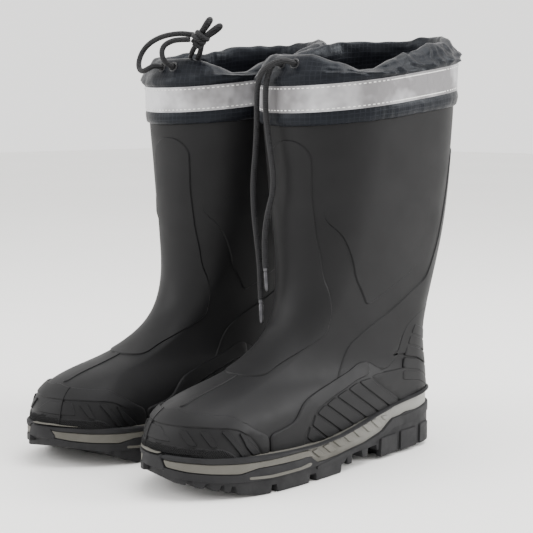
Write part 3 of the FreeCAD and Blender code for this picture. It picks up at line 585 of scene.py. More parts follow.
# %% Toe shield and mould seam
shield = np.array([(-29, 55.5), (-3, 55.5), (2.8, 52), (11.5, 45), (-33, 45), (-31, 51)], float)
seam = np.array([(-19.5, 66), (-18.6, 66), (-18.6, 31), (-19.5, 31)], float)
rib("toe_shield", by_reach(shield), 0.6, 0.6)
rib("toe_seam", by_reach(seam), 1.3, 0.25, sunk=1.2, cuts=((0.1, 0.1),))
print("shield and seam:", [len(o.data.polygons) for o in ribs[-2:]], "faces")

# %% Heel ribs and kick lug
HEEL_TOPS = [(118, 116), (112, 106), (107, 97), (102, 87), (98, 76), (95, 66)]
HEEL_FEET = [(147, 103), (147, 93), (147, 82), (148, 69), (150, 56), (150, 47)]
RIB_SHARE = (0.96, 0.86)  # how much of the room between two rib lines the rib takes, round and up
for side in (1, -1):
    for i in range(len(HEEL_TOPS) - 1):
        quad = seen_from_side([HEEL_TOPS[i], HEEL_FEET[i], HEEL_FEET[i + 1], HEEL_TOPS[i + 1]], side)
        heart = quad.mean(axis=0)
        rib(f"heel_rib_{i}_{side}", heart + (quad - heart) * RIB_SHARE, 0.7, 0.7, base=0.9, sunk=1.0,
            lay=rubber_by_height)
kick = np.array([(236, 58), (264, 58), (264, 67), (236, 67)], float)
rib("kick_lug", kick, 3.2, 2.6, base=1.0, sunk=1.2, cuts=BROAD, lay=rubber_by_height)
print("ribs:", len(ribs))

# %% [markdown]
# The soles and the inside pieces are already right in the frame, so each is a copy of its CAD piece: its loose
# triangles are merged into one mesh, flat neighbours are dissolved into whole faces, and a small bevel rounds
# the edges as a mould does. A walking sole isn't flat: the toe springs up, its inner front corner most, and
# the heel's outer edges are rounded up a little, so the copies' points are eased by these amounts.

# %% A finished copy of a CAD piece


def finished_copy(node, name, round_edge=0.0, degrees=38):
    pick_up(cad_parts[node])
    bpy.ops.object.duplicate()
    copy = bpy.context.object
    copy.name = name
    for key in [k for k in copy.keys() if k.startswith("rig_")]:
        del copy[key]
    copy.parent = None
    open_up(copy)
    bpy.ops.mesh.remove_doubles(threshold=1e-6)
    bpy.ops.mesh.dissolve_limited(angle_limit=math.radians(0.5))
    bpy.ops.object.mode_set(mode="OBJECT")
    if round_edge:
        harden(copy, "BEVEL", width=round_edge, segments=2, limit_method="ANGLE", angle_limit=math.radians(38),
               use_clamp_overlap=True)
    smooth(copy, degrees)
    return copy


outsole = finished_copy("left_outsole", "left_lugged_outsole", 0.0007)
midsole = finished_copy("left_midsole", "left_foam_midsole", 0.0008)
lining = finished_copy("left_lining", "left_fleece_lining")
footbed = finished_copy("left_footbed", "left_felt_footbed", 0.0012)
print("copies:", [(o.name, len(o.data.polygons)) for o in (outsole, midsole, lining, footbed)])

# %% Toe spring, inner corner and heel edges
SPRING = np.array([  # along, how high the tread ends there on the fixed part and on the finished one
    (-200, 10, 26), (-166, 10, 23), (-164, 10, 18.5), (-160.8, 10, 14.6), (-153, 10, 12.3), (-150, 6.5, 11),
    (-143, 6.5, 9.4), (-140, 3.5, 8.6), (-133, 3.5, 6.8), (-131, 1.2, 6.2), (-115, 0, 2.6), (-100, 0, 0),
    (200, 0, 0)], float)
SPRING_TOP = 32
CORNER_LIFT, CORNER_TOP, CORNER_PULL = 13, 34, (3.6, 3.4)
HEEL_LIFT, HEEL_TOP = 3.5, 8


def nearness(places, along, back, within):
    """1 at a spot of the left sole, given from its middle, and 0 beyond a distance from it."""
    return np.clip(1 - np.hypot(places[:, 0] - MIDDLE_X + along, places[:, 1] - MIDDLE_Y + back) / within, 0, 1)


def ease_toe(places):
    """Pulls the inner front corner of the sole in a little; places are mm, seen from above, of the left boot."""
    near = nearness(places, 40, 150, 75)
    near = near * near * (3 - 2 * near)
    return places[:, :2] + near[:, None] * CORNER_PULL


for piece in (outsole, midsole):
    spots = points_of(piece) / MM
    old, new = (np.interp(spots[:, 1] - MIDDLE_Y, SPRING[:, 0], SPRING[:, i]) for i in (1, 2))
    eased = new + (spots[:, 2] - old) * (SPRING_TOP - new) / (SPRING_TOP - old)
    spots[:, 2] = np.where(spots[:, 2] < SPRING_TOP, eased, spots[:, 2])
    spots[:, :2] = ease_toe(spots)
    spots[:, 2] += CORNER_LIFT * nearness(spots, 44, 152, 52) * np.clip(1 - spots[:, 2] / CORNER_TOP, 0, 1)
    edge = np.clip((np.abs(spots[:, 0] - MIDDLE_X) - 22) / 20, 0, 1) * np.clip((spots[:, 1] - 20) / 60, 0, 1)
    spots[:, 2] += HEEL_LIFT * edge * np.clip(1 - spots[:, 2] / HEEL_TOP, 0, 1)
    move_points(piece, spots * MM)
print("soles:", len(outsole.data.polygons), len(midsole.data.polygons))

# %% [markdown]
# The sole's wall carries moulded work that stands proud of it. On the grey foam there is a row of slanted
# blocks in the arch, a thin second strip and a pale run under the forefoot. On the dark rubber there are
# stepped rims, a foxing rim under the upper, lugs at the heel and a bumper round the toe. Their patterns are
# laid on the sole's wall, which is a smooth closed curve seen from above.

# %% The sole's wall
HALF_LONG = 165.5
OUTLINE = np.array([
    (-3, -HALF_LONG), (26, -HALF_LONG + 11), (50, -HALF_LONG + 40), (61, -62), (58, -10), (53, 40), (48, 90),
    (43, HALF_LONG - 36), (24, HALF_LONG - 8), (0, HALF_LONG), (-24, HALF_LONG - 8), (-43, HALF_LONG - 36),
    (-47, 90), (-51, 40), (-54, -10), (-59.5, -75), (-54, -HALF_LONG + 44), (-34, -HALF_LONG + 13)], float)
looped = np.vstack([OUTLINE[-4:], OUTLINE, OUTLINE[:5]])
mark = np.r_[0, np.cumsum(np.linalg.norm(np.diff(looped, axis=0), axis=1))]
wall_at = smooth_curve(mark, looped)
WALL_START, WALL_LENGTH, WALL_INSET = mark[4], mark[22] - mark[4], 1.5


def sole_wall(s, up, out=0.0):
    """A point of the left boot's sole wall: s mm round from the toe by the outer side, at a height."""
    where = WALL_START + np.mod(np.asarray(s, float), WALL_LENGTH)
    here, ahead, behind = wall_at(where), wall_at(where + 0.5), wall_at(where - 0.5)
    run = ahead - behind
    run /= np.linalg.norm(run, axis=1)[:, None]
    place = here + np.c_[run[:, 1], -run[:, 0]] * (np.broadcast_to(out, where.shape)[:, None] - WALL_INSET)
    return np.c_[ease_toe(place + (MIDDLE_X, MIDDLE_Y)), np.asarray(up, float)]


def round_at(along, side=1):
    """The distance round the wall at which it is that far along, on the outer (1) or inner (-1) side."""
    tries = np.arange(0, WALL_LENGTH, 0.5)
    spots = wall_at(WALL_START + tries)
    here = spots[:, 0] * side > 0
    tries, spots = tries[here], spots[here]
    return float(tries[np.argmin(np.abs(spots[:, 1] - along))])


def on_wall(points, side=1):
    """Pattern places on the sole's wall from (along, height) places on one side."""
    return np.array([(round_at(along, side), up) for along, up in points])


print("wall length:", round(WALL_LENGTH), "mm")

# %% Patterns on the wall, as (along, height)
BLOCKS = [  # top front, top back, foot back, foot front
    [(-41, 26), (-32.8, 27.3), (-21.7, 18.8), (-30.2, 18.3)],
    [(-26.4, 27.7), (-17.2, 28.7), (-6.4, 20.7), (-15, 19.7)],
    [(-12.8, 29.8), (-2.9, 31), (7.2, 23.1), (-1, 21.9)],
    [(1.2, 32.1), (10.7, 32.8), (21.2, 24.9), (12.6, 23.7)],
    [(15.5, 34.2), (25.7, 34.8), (36.5, 27), (26.9, 25.5)],
    [(30.1, 35.7), (40, 35.9), (51.4, 27.7), (41.9, 27.2)],
    [(44.7, 37.3), (54.2, 37.8), (64.4, 29.3), (57.7, 27.9)],
    [(60.6, 38.2), (70.1, 37.9), (74.6, 34.9), (68.2, 32.8)]]
SECOND_STRIP = [(-112, 17.3), (-91, 16.1), (-57, 16.6), (-46, 18.4), (-42, 17), (-45, 13.9), (-57, 13), (-91, 12.5),
                (-112, 14)]
FOREFOOT_RIM = [(-163.2, 27), (-153.7, 23.4), (-140.6, 21.5), (-119, 19.7), (-112, 21.2), (-103, 23), (-91, 22.8),
                (-57, 22.7), (-49.5, 23.8), (-44, 22.6), (-34, 16), (-30, 12.5), (-47, 12), (-103, 12), (-130, 13),
                (-163, 19)]
HEEL_RIM = [(-36, 13), (-11.8, 15.3), (12, 17.8), (34.6, 19.6), (58.4, 24.1), (63.4, 25.5), (71, 29.8),
            (78.4, 33.6), (99.8, 34.8), (118.6, 36.1), (132.9, 37.2), (158, 38), (158, 29.5), (133, 28.6),
            (119, 27.3), (100, 25.3), (80, 24), (66, 19.5), (34, 14.5), (12, 12.5), (-36, 9)]
PALE_RUN = [(-163.5, 33), (-160.7, 32), (-153.7, 31), (-140.3, 29.5), (-117.3, 28.5), (-91.5, 28.2), (-57, 28.8),
            (-45, 28), (-37, 20), (-44, 22), (-57, 22), (-103, 22.3), (-119, 19.4), (-140.6, 21.2), (-153.7, 23.2),
            (-162.6, 26.2)]
PALE_TOP = [(-163.9, 33.3), (-160.7, 31.7), (-153.7, 30.8), (-140.3, 29.1), (-117.3, 28), (-91.5, 27.7),
            (-57, 28.3), (-31, 28.6), (0, 30.6), (26.6, 34.6), (58, 40.2), (74, 42.4), (78, 43.8), (105, 46.6),
            (133, 48.8), (158, 50)]
FOXING_RIM = [(y, np.interp(y, FEATHER[:, 0], FEATHER[:, 1]) + 0.5) for y, _ in PALE_TOP] + PALE_TOP[::-1]
LUGS = [[(58, 19.5), (84, 20), (84, 2.2), (57, 2.2)], [(89.5, 20.5), (115, 21), (115, 2.6), (88.6, 2.4)],
        [(120.5, 21.5), (140, 21.8), (140, 3), (120, 2.8)]]
print("wall patterns:", len(BLOCKS) + len(LUGS) + 5, "a side")

# %% Lay them on both sides, and the bumper round the toe
blocks, rim_pieces = [], []
PLAN = [(block, 1.2, blocks, "arch_block", 2.4) for block in BLOCKS]  # outline, rise, group, word, grid step
PLAN += [(SECOND_STRIP, 3.5, blocks, "second_strip", 3), (FOREFOOT_RIM, 3.0, rim_pieces, "forefoot_rim", 4),
         (HEEL_RIM, 2.4, rim_pieces, "heel_rim", 4), (PALE_RUN, 2.5, blocks, "pale_run", 4),
         (FOXING_RIM, 3.1, rim_pieces, "foxing_rim", 5)]
PLAN += [(lug, 3.4, rim_pieces, "heel_lug", 4) for lug in LUGS]


def on_the_sole(word, outline, proud, step, shoulder=0.7):
    return pattern_piece(word, outline, rise=proud, shoulder=shoulder, step=step, lay=sole_wall, cuts=FINE)


for side in (1, -1):
    for number, (outline, proud, group, word, step) in enumerate(PLAN):
        group.append(on_the_sole(f"{word}_{number}_{side}", on_wall(outline, side), proud, step))
front_end = round_at(-163.2)
inner_end = round_at(-163.2, -1) - WALL_LENGTH
bumper = np.array([(inner_end, 36.2), (front_end - 4, 36.2), (front_end - 1, 33), (front_end + 2, 26),
                   (front_end + 2, 24), (inner_end - 6, 25), (inner_end - 6, 28), (inner_end - 2, 33)], float)
rim_pieces.append(on_the_sole("toe_bumper", bumper, 3.2, 4, 1.0))
thin = np.array([(inner_end - 26, 36.2), (inner_end, 37.7), (front_end - 4, 37.4), (front_end - 4, 36.8),
                 (inner_end, 37), (inner_end - 26, 35.5)], float)
blocks.append(on_the_sole("thin_toe_strip", thin, 2.6, 4, 0.15))
print("on the wall:", len(blocks), "of foam,", len(rim_pieces), "of rubber")

# %% [markdown]
# The collar is one sleeve of ripstop nylon: it comes up from under a flat hem at its foot, lies flat under the
# reflective tape, swells in soft folds above it and is gathered over the drawcord at the mouth, then goes down
# inside to the lining. It is extruded ring by ring like the shell. The folds follow the cloth: long flat
# wrinkles where it is slack, short upright puckers where the cord gathers it, none near the eyelets. The
# slack cloth behind the eyelets can't hold itself up, so the mouth slumps there almost to the tape.

# %% The sleeve's rings
AROUND = 320
SLEEVE = [  # height, out from the rubber, wrinkle share, pucker share
    (308, 0.5, 0, 0), (303, 0.5, 0, 0), (300.6, 0.9, 0, 0.1), (299.8, 1.8, 0, 0.2), (300.6, 2.7, 0.05, 0.3),
    (302.8, 3.2, 0.1, 0.35), (306, 3.4, 0.15, 0.35), (309, 3.2, 0.1, 0.3), (311, 2.8, 0.05, 0.1),
    (312.6, 2.4, 0, 0), (316, 2.2, 0, 0), (322, 2.2, 0, 0), (328, 2.2, 0, 0), (333, 2.2, 0, 0), (335.6, 2.3, 0, 0),
    (337.4, 3.3, 0.3, 0), (339.4, 4.1, 0.7, 0.1), (341.8, 4.3, 1, 0.15), (344.2, 4.0, 1, 0.3),
    (346.6, 3.3, 1, 0.45), (348.8, 2.3, 0.9, 0.7), (350.8, 1.1, 0.7, 0.9), (352.8, 0.1, 0.5, 1),
    (354.8, -1.0, 0.4, 1), (356.8, -2.0, 0.4, 1), (358.8, -3.0, 0.4, 1), (360.8, -4.2, 0.4, 1),
    (362.6, -5.6, 0.4, 0.9), (363.9, -7.4, 0.4, 0.8), (364.4, -9.4, 0.4, 0.7), (363.9, -11.4, 0.3, 0.6),
    (362, -12.8, 0.3, 0.6), (358.5, -13.6, 0.3, 0.5), (354, -13.6, 0.3, 0.4), (349, -12.8, 0.4, 0.3),
    (344, -11.8, 0.4, 0.1), (339, -10.8, 0.3, 0), (334, -9.8, 0.1, 0), (328, -9.5, 0, 0), (322, -9.5, 0, 0)]
LIFT_HEIGHTS, FRONT_LIFTS, BACK_LIFTS = (300, 312, 336, 350, 362), (5, 4.5, 3, 1, 0), (5.5, 6.5, 7.5, 3, 0)
collar_turns = np.linspace(0, 2, AROUND, endpoint=False)


def collar_ring(height, out, turns=collar_turns):
    """A ring of the collar, in mm: the shaft's top section carried on upward, grown by out."""
    row = np.repeat(section_at([reach_of(min(height, TOP_HEIGHT))]), len(turns), axis=0)
    row[:, 0] = height
    ring = girth(row, turns, out)
    back = np.clip((ring[:, 1] + 10) / 190, 0, 1)
    front_lift, back_lift = (np.interp(height, LIFT_HEIGHTS, lifts) for lifts in (FRONT_LIFTS, BACK_LIFTS))
    ring[:, 2] += front_lift + (back_lift - front_lift) * back
    return ring + (MIDDLE_X, MIDDLE_Y, 0)


girth_mm = float(np.linalg.norm(np.diff(collar_ring(TOP_HEIGHT, 3.2), axis=0), axis=1).sum())
print("collar girth:", round(girth_mm), "mm")

# %% Folds and the slumped mouth
SLUMP_ANGLES = (-180, -60, -16, 13, 28, 40, 50, 60, 78, 110, 180)  # degrees round the mouth, 0 at the front
SLUMP_SHARES = (1, 0.95, 1, 1, 0.55, 0.16, 0.2, 0.5, 0.8, 0.95, 1)
SLUMP_FROM, MOUTH_Y = 339, 76


def wave(places, across, up, seed):
    """Smooth noise from -1 to 1 at places, as long as 'across' round the leg and 'up' along it."""
    return np.array([noise.noise(Vector((x / across + seed, y / across - seed, z / up))) for x, y, z in places])


def slump(places, side):
    """How much of its height above the tape the mouth keeps: it sags on one side, just behind the eyelets."""
    angle = np.degrees(np.arctan2((places[:, 0] - MIDDLE_X) * side, MOUTH_Y - places[:, 1]))
    return np.interp(angle, SLUMP_ANGLES, SLUMP_SHARES)


def slumped(places, side):
    lowered = places.copy()
    lowered[:, 2] -= np.clip(places[:, 2] - SLUMP_FROM, 0, None) * (1 - slump(places, side))
    return lowered


print("lowest share of the mouth's height:", min(SLUMP_SHARES))

# %% The collars
FOLD_DEEP, CREASE_DEEP, PUCKER_DEEP = 3.8, 2.6, 1.3
MOUTH_WAVE, MOUTH_RIPPLE, HEM_RIPPLE = 5.0, 2.4, 0.5
HEM_TOP, MOUTH_FROM, MOUTH_TO = 311, 338, 362


def folds(calm, wrinkle, pucker, seed, near_eyelet):
    """How far the cloth of one ring stands out in folds, in mm; the puckers leave the eyelets flat."""
    soft = wave(calm, 30, 7.5, seed)
    crease = 0.8 - 2.4 * np.abs(wave(calm, 17, 9, seed + 7))
    gather = 0.7 - 2.6 * np.abs(wave(calm, 9, 60, seed + 13))
    return wrinkle * (FOLD_DEEP * soft + CREASE_DEEP * crease) + pucker * PUCKER_DEEP * gather * near_eyelet


def make_collar(name, seed, side):
    """One boot's sleeve, made where the left boot stands; side tells which of its sides slumps."""
    near_eyelet = np.clip((np.abs((collar_turns + 1) % 2 - 1) * 190 - 13) / 12, 0, 1)
    rings = []
    for height, out, wrinkle, pucker in SLEEVE:
        calm = collar_ring(height, out)
        away = collar_ring(height, out + 1) - calm
        rise = folds(calm, wrinkle, pucker, seed, near_eyelet)
        if height > 336:
            rise *= 0.25 + 0.75 * near_eyelet
        inside = -1 if out < -8 else 1
        ring = calm + away * (rise * inside)[:, None]
        edge = MOUTH_WAVE * wave(calm, 42, 500, seed + 3) + MOUTH_RIPPLE * wave(calm, 15, 500, seed + 5)
        lift = np.clip((height - MOUTH_FROM) / (MOUTH_TO - MOUTH_FROM), 0, 1) * edge * near_eyelet
        low = HEM_RIPPLE * wave(calm, 14, 500, seed + 9) * (height < HEM_TOP)
        ring[:, 2] += lift + low
        rings.append(slumped(ring, side))
    piece = rings_piece(name, rings)
    smooth(piece, 180)
    return piece


collars = {"left": make_collar("left_nylon_collar", 3.1, 1), "right": make_collar("right_nylon_collar", 8.6, -1)}
print("collars:", len(collars["left"].data.polygons), "faces each")

# %% The cloth's own measure, as a UV map


def lay_weave(piece, girth_mm):
    """Stores how far round and how far up the cloth each corner is, in metres, as a UV map."""
    count = len(piece.data.vertices)
    level, column, loops = np.empty(count, int), np.empty(count, int), np.empty(len(piece.data.loops), int)
    piece.data.attributes["ring"].data.foreach_get("value", level)
    piece.data.attributes["column"].data.foreach_get("value", column)
    piece.data.loops.foreach_get("vertex_index", loops)
    ring = points_of(piece)[np.lexsort((column, level))].reshape(-1, AROUND, 3)
    up = np.r_[0, np.cumsum(np.linalg.norm(np.diff(ring, axis=0), axis=2).mean(axis=1))]
    column, row = column[loops], level[loops]
    faces = column.reshape(-1, 4)
    wraps = (faces.max(axis=1) - faces.min(axis=1)) > AROUND / 2
    column = np.where(np.repeat(wraps, 4) & (column == 0), AROUND, column)
    layer = piece.data.uv_layers.new(name="weave")
    layer.data.foreach_set("uv", np.c_[column / AROUND * girth_mm * MM, up[row]].ravel())
    return up[-1]


sleeve_lengths = {word: lay_weave(collar, girth_mm) for word, collar in collars.items()}
print("sleeve lengths:", {word: round(length, 4) for word, length in sleeve_lengths.items()}, "m")

# %% [markdown]
# The reflective tape is a thin woven band sewn round the collar with two rows of white thread. It creases
# where the sleeve under it gives way, so the band gets a few sharp dents. One stitch is modelled, copied
# along in edit mode, and each copy is set on its place in the row.

# %% Reflective tape
TAPE_FOOT, TAPE_TOP, TAPE_THICK = 312, 336, 0.6


def tape_out(places, seed):
    """How far the tape stands out from the rubber at places."""
    crease = np.clip(0.55 - 3.2 * np.abs(wave(places, 13, 26, seed)), 0, 1)
    return 3.0 + 0.4 * wave(places, 34, 40, seed + 4) + 0.8 * crease


def make_tape(name, seed):
    rings = []
    outer = [(height, 0) for height in np.linspace(TAPE_FOOT, TAPE_TOP, 13)]
    for height, inset in outer + [(TAPE_TOP, TAPE_THICK), (TAPE_FOOT, TAPE_THICK), (TAPE_FOOT, 0)]:
        calm = collar_ring(height, 0)
        away = collar_ring(height, 1) - calm
        rings.append(calm + away * (tape_out(calm, seed) - inset)[:, None])
    piece = rings_piece(name, rings)
    smooth(piece, 50)
    return piece


TAPE_SEEDS = {"left": 5.2, "right": 1.7}
tapes = {word: make_tape(f"{word}_silver_tape", seed) for word, seed in TAPE_SEEDS.items()}
print("tape:", len(tapes["left"].data.polygons), "faces")

# %% Two rows of stitches
STITCH_ROWS, STITCH_PITCH = (314.4, 333.6), 3.7
STITCH_LONG, STITCH_WIDE, STITCH_THICK, STITCH_PROUD = 2.4, 1.0, 0.84, 0.1


def stitch_spots(seed):
    """For each stitch: its place on the tape, the way along the row and the way out of the tape."""
    spots = []
    count = int(girth_mm / STITCH_PITCH)
    turn = (np.arange(count) + 0.5) * 2 / count
    for height in STITCH_ROWS:
        calm = collar_ring(height, 0, turn)
        away = collar_ring(height, 1, turn) - calm
        ahead = collar_ring(height, 0, turn + 0.002) - calm
        ahead /= np.linalg.norm(ahead, axis=1)[:, None]
        spots += list(zip(calm + away * (tape_out(calm, seed) + 0.05)[:, None], ahead, away))
    return spots


def make_stitches(name, seed):
    put_down()
    bpy.ops.mesh.primitive_cylinder_add(vertices=6, radius=1, depth=2, end_fill_type="NGON")
    piece = bpy.context.object
    piece.name = name
    open_up(piece)
    bpy.ops.mesh.inset(thickness=0.4, depth=0, use_individual=True)
    bpy.ops.mesh.select_all(action="SELECT")
    bpy.ops.mesh.remove_doubles(threshold=0.01)
    bpy.ops.object.mode_set(mode="OBJECT")
    one = points_of(piece)
    squeeze = np.where(np.abs(one[:, 2]) > 0.9, 0.55, 1.0)
    one = one * np.c_[squeeze, squeeze, np.full(len(one), 1.0)]
    move_points(piece, one)
    spots = stitch_spots(seed)
    repeat(piece, len(spots))
    every = [spot + one[:, 2:3] * ahead * STITCH_LONG / 2 + one[:, 0:1] * np.cross(away, ahead) * STITCH_WIDE / 2
             + (one[:, 1:2] * STITCH_THICK / 2 + STITCH_PROUD) * away for spot, ahead, away in spots]
    move_points(piece, np.vstack(every) * MM)
    smooth(piece, 60)
    return piece


stitches = {word: make_stitches(f"{word}_tape_stitches", seed) for word, seed in TAPE_SEEDS.items()}
print("stitches:", len(stitches["left"].data.polygons), "faces")

# %% [markdown]
# Two enamelled eyelets let the drawcord out at the front of the hem. An eyelet is a rolled ring, so its
# section is extruded round the axis as a closed tube of rings.

# %% Eyelets
HEM_RADIUS, HEM_CENTRE, EYELET_HEIGHT = 64.8, 57.0, 357


def round_rings(profile, start, heading, around=20):
    """Rings round an axis, in mm: the profile gives how far along and how wide each one is."""
    start, heading = np.array(start, float), np.array(heading, float)
    heading /= np.linalg.norm(heading)
    one = np.cross(heading, (0, 0, 1) if abs(heading[2]) < 0.9 else (1, 0, 0))
    one /= np.linalg.norm(one)
    two = np.cross(heading, one)
    angle = np.linspace(0, 2 * np.pi, around, endpoint=False)[:, None]
    return [start + heading * far + (one * np.cos(angle) + two * np.sin(angle)) * wide for far, wide in profile]


def eyelet_place(across):
    """Where the eyelet sits on the leaning hem and which way it faces, for one boot's own middle."""
    side, lean = math.asin(across / HEM_RADIUS), math.atan2(6, 14)
    along = HEM_CENTRE - math.sqrt(HEM_RADIUS ** 2 - across ** 2)
    face = Vector((math.sin(side) * math.cos(lean), -math.cos(side) * math.cos(lean), math.sin(lean)))
    tip = Matrix.Rotation(SLOPE, 3, "X")
    spot = Vector((0, PIVOT, EYELET_HEIGHT)) + tip @ Vector((across, along - PIVOT, 0))
    return np.array(spot), np.array(tip @ face)


ROLLED = [(-2.0, 2.9), (0.9, 2.9), (1.5, 3.2), (1.75, 3.9), (1.5, 4.6), (0.8, 5.0), (0.35, 4.9), (0.35, 3.6),
          (-2.0, 3.4), (-2.0, 2.9)]
eyelets = {}
for word, side in (("left", 1), ("right", -1)):
    pair = []
    for across in (8, -7):
        spot, face = eyelet_place(across)
        rings = round_rings(ROLLED, spot + (MIDDLE_X, MIDDLE_Y, 0), face, 24)
        pair.append(rings_piece(f"{word}_eyelet_{across}", [ring * (side, 1, 1) for ring in rings]))
    pick_up(*pair)
    bpy.ops.object.join()
    eyelets[word] = bpy.context.object
    eyelets[word].name = f"{word}_enamel_eyelets"
    smooth(eyelets[word], 50)
print("eyelets:", [o.name for o in eyelets.values()])

# %% [markdown]
# A drawcord is limp braided cord, 5 mm thick, so it is a smooth curve with a round section. On the left boot
# its two ends leave the eyelets and hang down the shin to rolled metal tips; on the right boot both ends
# stand up in a loop to a knot, as someone tied them. The routes are the ones that the frame's cords take.

# %% Routes of the cords, in mm from a boot's own middle
TAIL_OUTER = [(7.8, -5.2, 346.9), (9, -14.9, 349.9), (6.9, -20.5, 350.3), (2.2, -24.5, 348.6), (-4.6, -26, 346),
              (-12.4, -26, 341.5), (-19.3, -23.5, 334.5), (-25, -19.5, 325), (-29, -15.8, 312.5),
              (-31.8, -13, 296), (-34, -12.2, 273), (-36, -13.5, 248), (-36, -13, 223), (-33.5, -12, 199),
              (-30, -12, 178), (-28.5, -12.2, 160), (-26, -14, 143)]
TAIL_INNER = [(-6.8, -5.3, 346.9), (-7.6, -12.7, 349.2), (-8.7, -17, 347.3), (-10.5, -19.2, 342.5),
              (-13, -19.6, 336), (-15, -19, 327.5), (-16.2, -18.4, 317), (-15.8, -18, 304), (-13, -18.5, 287),
              (-9.5, -18.5, 270), (-6.8, -18, 253), (-8.3, -17.3, 237), (-13.8, -17.5, 222), (-18, -16.8, 206),
              (-19.5, -16.2, 189), (-18.8, -15.5, 172)]
LOOP_OUTER = [(-7.8, -5.2, 346.9), (-9, -14.9, 349.9), (-12.8, -19.8, 346.8), (-18.3, -21.8, 343.8),
              (-24.5, -21, 345), (-28.5, -19, 350), (-29.3, -16.8, 356.5), (-27, -14.8, 363),
              (-21.5, -12.8, 369), (-13.5, -10.5, 373.5), (-4, -8.2, 376.5), (6.5, -5, 378), (15.5, -1.5, 378.3),
              (24.3, 2.5, 376.8)]
LOOP_INNER = [(6.8, -5.3, 346.9), (7.9, -15, 349.9), (7.6, -19.8, 353.5), (6.5, -21.5, 359.8),
              (6.5, -19.5, 366), (9.5, -15.5, 370), (16.5, -10.5, 372.5), (26, -4, 372.3)]
END_UPPER = [(27, 3.5, 368.2), (20.8, 5, 364.2), (15.5, 8, 360.5)]
END_LOWER = [(30, 7, 368), (24.5, 10.5, 360.5), (18.5, 12, 354)]
KNOT_PLACE, BIGHT_WAY = np.array((32, 2, 373.0)), np.array((0.62, 0.42, 0.66))
CORD = 5.0
print("route points:", [len(route) for route in (TAIL_OUTER, TAIL_INNER, LOOP_OUTER, LOOP_INNER)])

# %% Cord curves and their length


def cord_curve(name, routes, middle_x):
    """A smooth curve of 5 mm cord through one or more routes, given in mm from a boot's own middle."""
    data = bpy.data.curves.new(name, "CURVE")
    data.dimensions = "3D"
    data.bevel_depth = CORD / 2 * MM
    data.bevel_resolution = 4
    data.resolution_u = 10
    data.use_fill_caps = True
    for route in routes:
        spline = data.splines.new("NURBS")
        spline.points.add(len(route) - 1)
        for point, (x, y, z) in zip(spline.points, route):
            point.co = ((x + middle_x) * MM, (y + MIDDLE_Y) * MM, z * MM, 1)
        spline.use_endpoint_u = True
        spline.order_u = 3
    piece = bpy.data.objects.new(name, data)
    bpy.context.scene.collection.objects.link(piece)
    return piece


def curve_length(route):
    """The length in metres of the smooth curve that such a route gives: its runs, with each corner cut."""
    line = np.array(route, float)
    mids = np.vstack([line[0], (line[1:-2] + line[2:-1]) / 2, line[-1]])
    total = 0.0
    for a, corner, b in zip(mids, line[1:-1], mids[1:]):
        u = np.linspace(0, 1, 12)[:, None]
        bow = (1 - u) ** 2 * a + 2 * u * (1 - u) * corner + u * u * b
        total += np.linalg.norm(np.diff(bow, axis=0), axis=1).sum()
    return total * MM


tails = [cord_curve("left_hanging_cord_outer", [TAIL_OUTER], MIDDLE_X),
         cord_curve("left_hanging_cord_inner", [TAIL_INNER], MIDDLE_X)]
loops = [cord_curve("right_cord_to_knot_outer", [LOOP_OUTER], -MIDDLE_X),
         cord_curve("right_cord_to_knot_inner", [LOOP_INNER], -MIDDLE_X)]
print("cords:", [round(curve_length(r), 3) for r in (TAIL_OUTER, TAIL_INNER, LOOP_OUTER, LOOP_INNER)], "m")

# %% The knot: a wrap, two bights and two ends
knot_way = BIGHT_WAY / np.linalg.norm(BIGHT_WAY)
knot_side = np.cross(knot_way, (0, 0, 1.0))
knot_side /= np.linalg.norm(knot_side)
knot_up = np.cross(knot_way, knot_side)
WRAP_RADIUS, WRAP_LONG, WRAP_ANGLE = 5.4, 11, 4.7 * math.pi


def about_knot(far, a, b):
    return tuple(KNOT_PLACE + knot_way * far + knot_side * a + knot_up * b)


wrap = [about_knot(-WRAP_LONG / 2 + WRAP_LONG * t, WRAP_RADIUS * math.cos(t * WRAP_ANGLE),
                   WRAP_RADIUS * math.sin(t * WRAP_ANGLE)) for t in np.linspace(0, 1, 30)]
BIGHT_ONE = [(-7, 0, 1.5), (2, -0.5, 2.6), (10, -3.5, 3.6), (17, -5.5, 4.4), (22, -3, 4.6), (22.5, 1.5, 4.0),
             (17, 3.2, 3.4), (9, 1.5, 2.6), (-2, 0.5, 1.6)]
BIGHT_TWO = [(-7, 0, -1.5), (2, 0.6, -2.4), (9, 2.6, -3.6), (15, 4.4, -5.2), (19, 2.4, -6.4), (19.5, -1.5, -6.0),
             (15, -3.0, -4.6), (8, -1.5, -3.0), (-2, -0.5, -1.6)]
bights = [[about_knot(*spot) for spot in route] for route in (BIGHT_ONE, BIGHT_TWO)]
knot = cord_curve("right_knotted_bights", [wrap, *bights, END_UPPER, END_LOWER], -MIDDLE_X)
print("knot:", sum(len(spline.points) for spline in knot.data.splines), "points")

# %% Rolled metal tips
TIP = [(0, 0), (0, 1.5), (0.5, 2.0), (3.0, 2.0), (3.5, 1.6), (4.4, 1.6), (5.0, 1.95), (17.0, 1.75), (19.5, 1.6),
       (20.7, 1.1), (21, 0)]


def make_tips(name, ends, middle_x):
    """Rolled metal tips in line with the ends of routes."""
    made = []
    for number, route in enumerate(ends):
        a, b = np.array(route[-2], float), np.array(route[-1], float)
        made.append(rings_piece(f"{name}_{number}", round_rings(TIP, b + (middle_x, MIDDLE_Y, 0), b - a, 16)))
    pick_up(*made)
    bpy.ops.object.join()
    piece = bpy.context.object
    piece.name = name
    smooth(piece, 35)
    return piece


tips = {"left": make_tips("left_cord_tips", [TAIL_OUTER, TAIL_INNER], MIDDLE_X),
        "right": make_tips("right_cord_tips", [END_UPPER, END_LOWER], -MIDDLE_X)}
print("tips:", [len(o.data.polygons) for o in tips.values()], "faces")

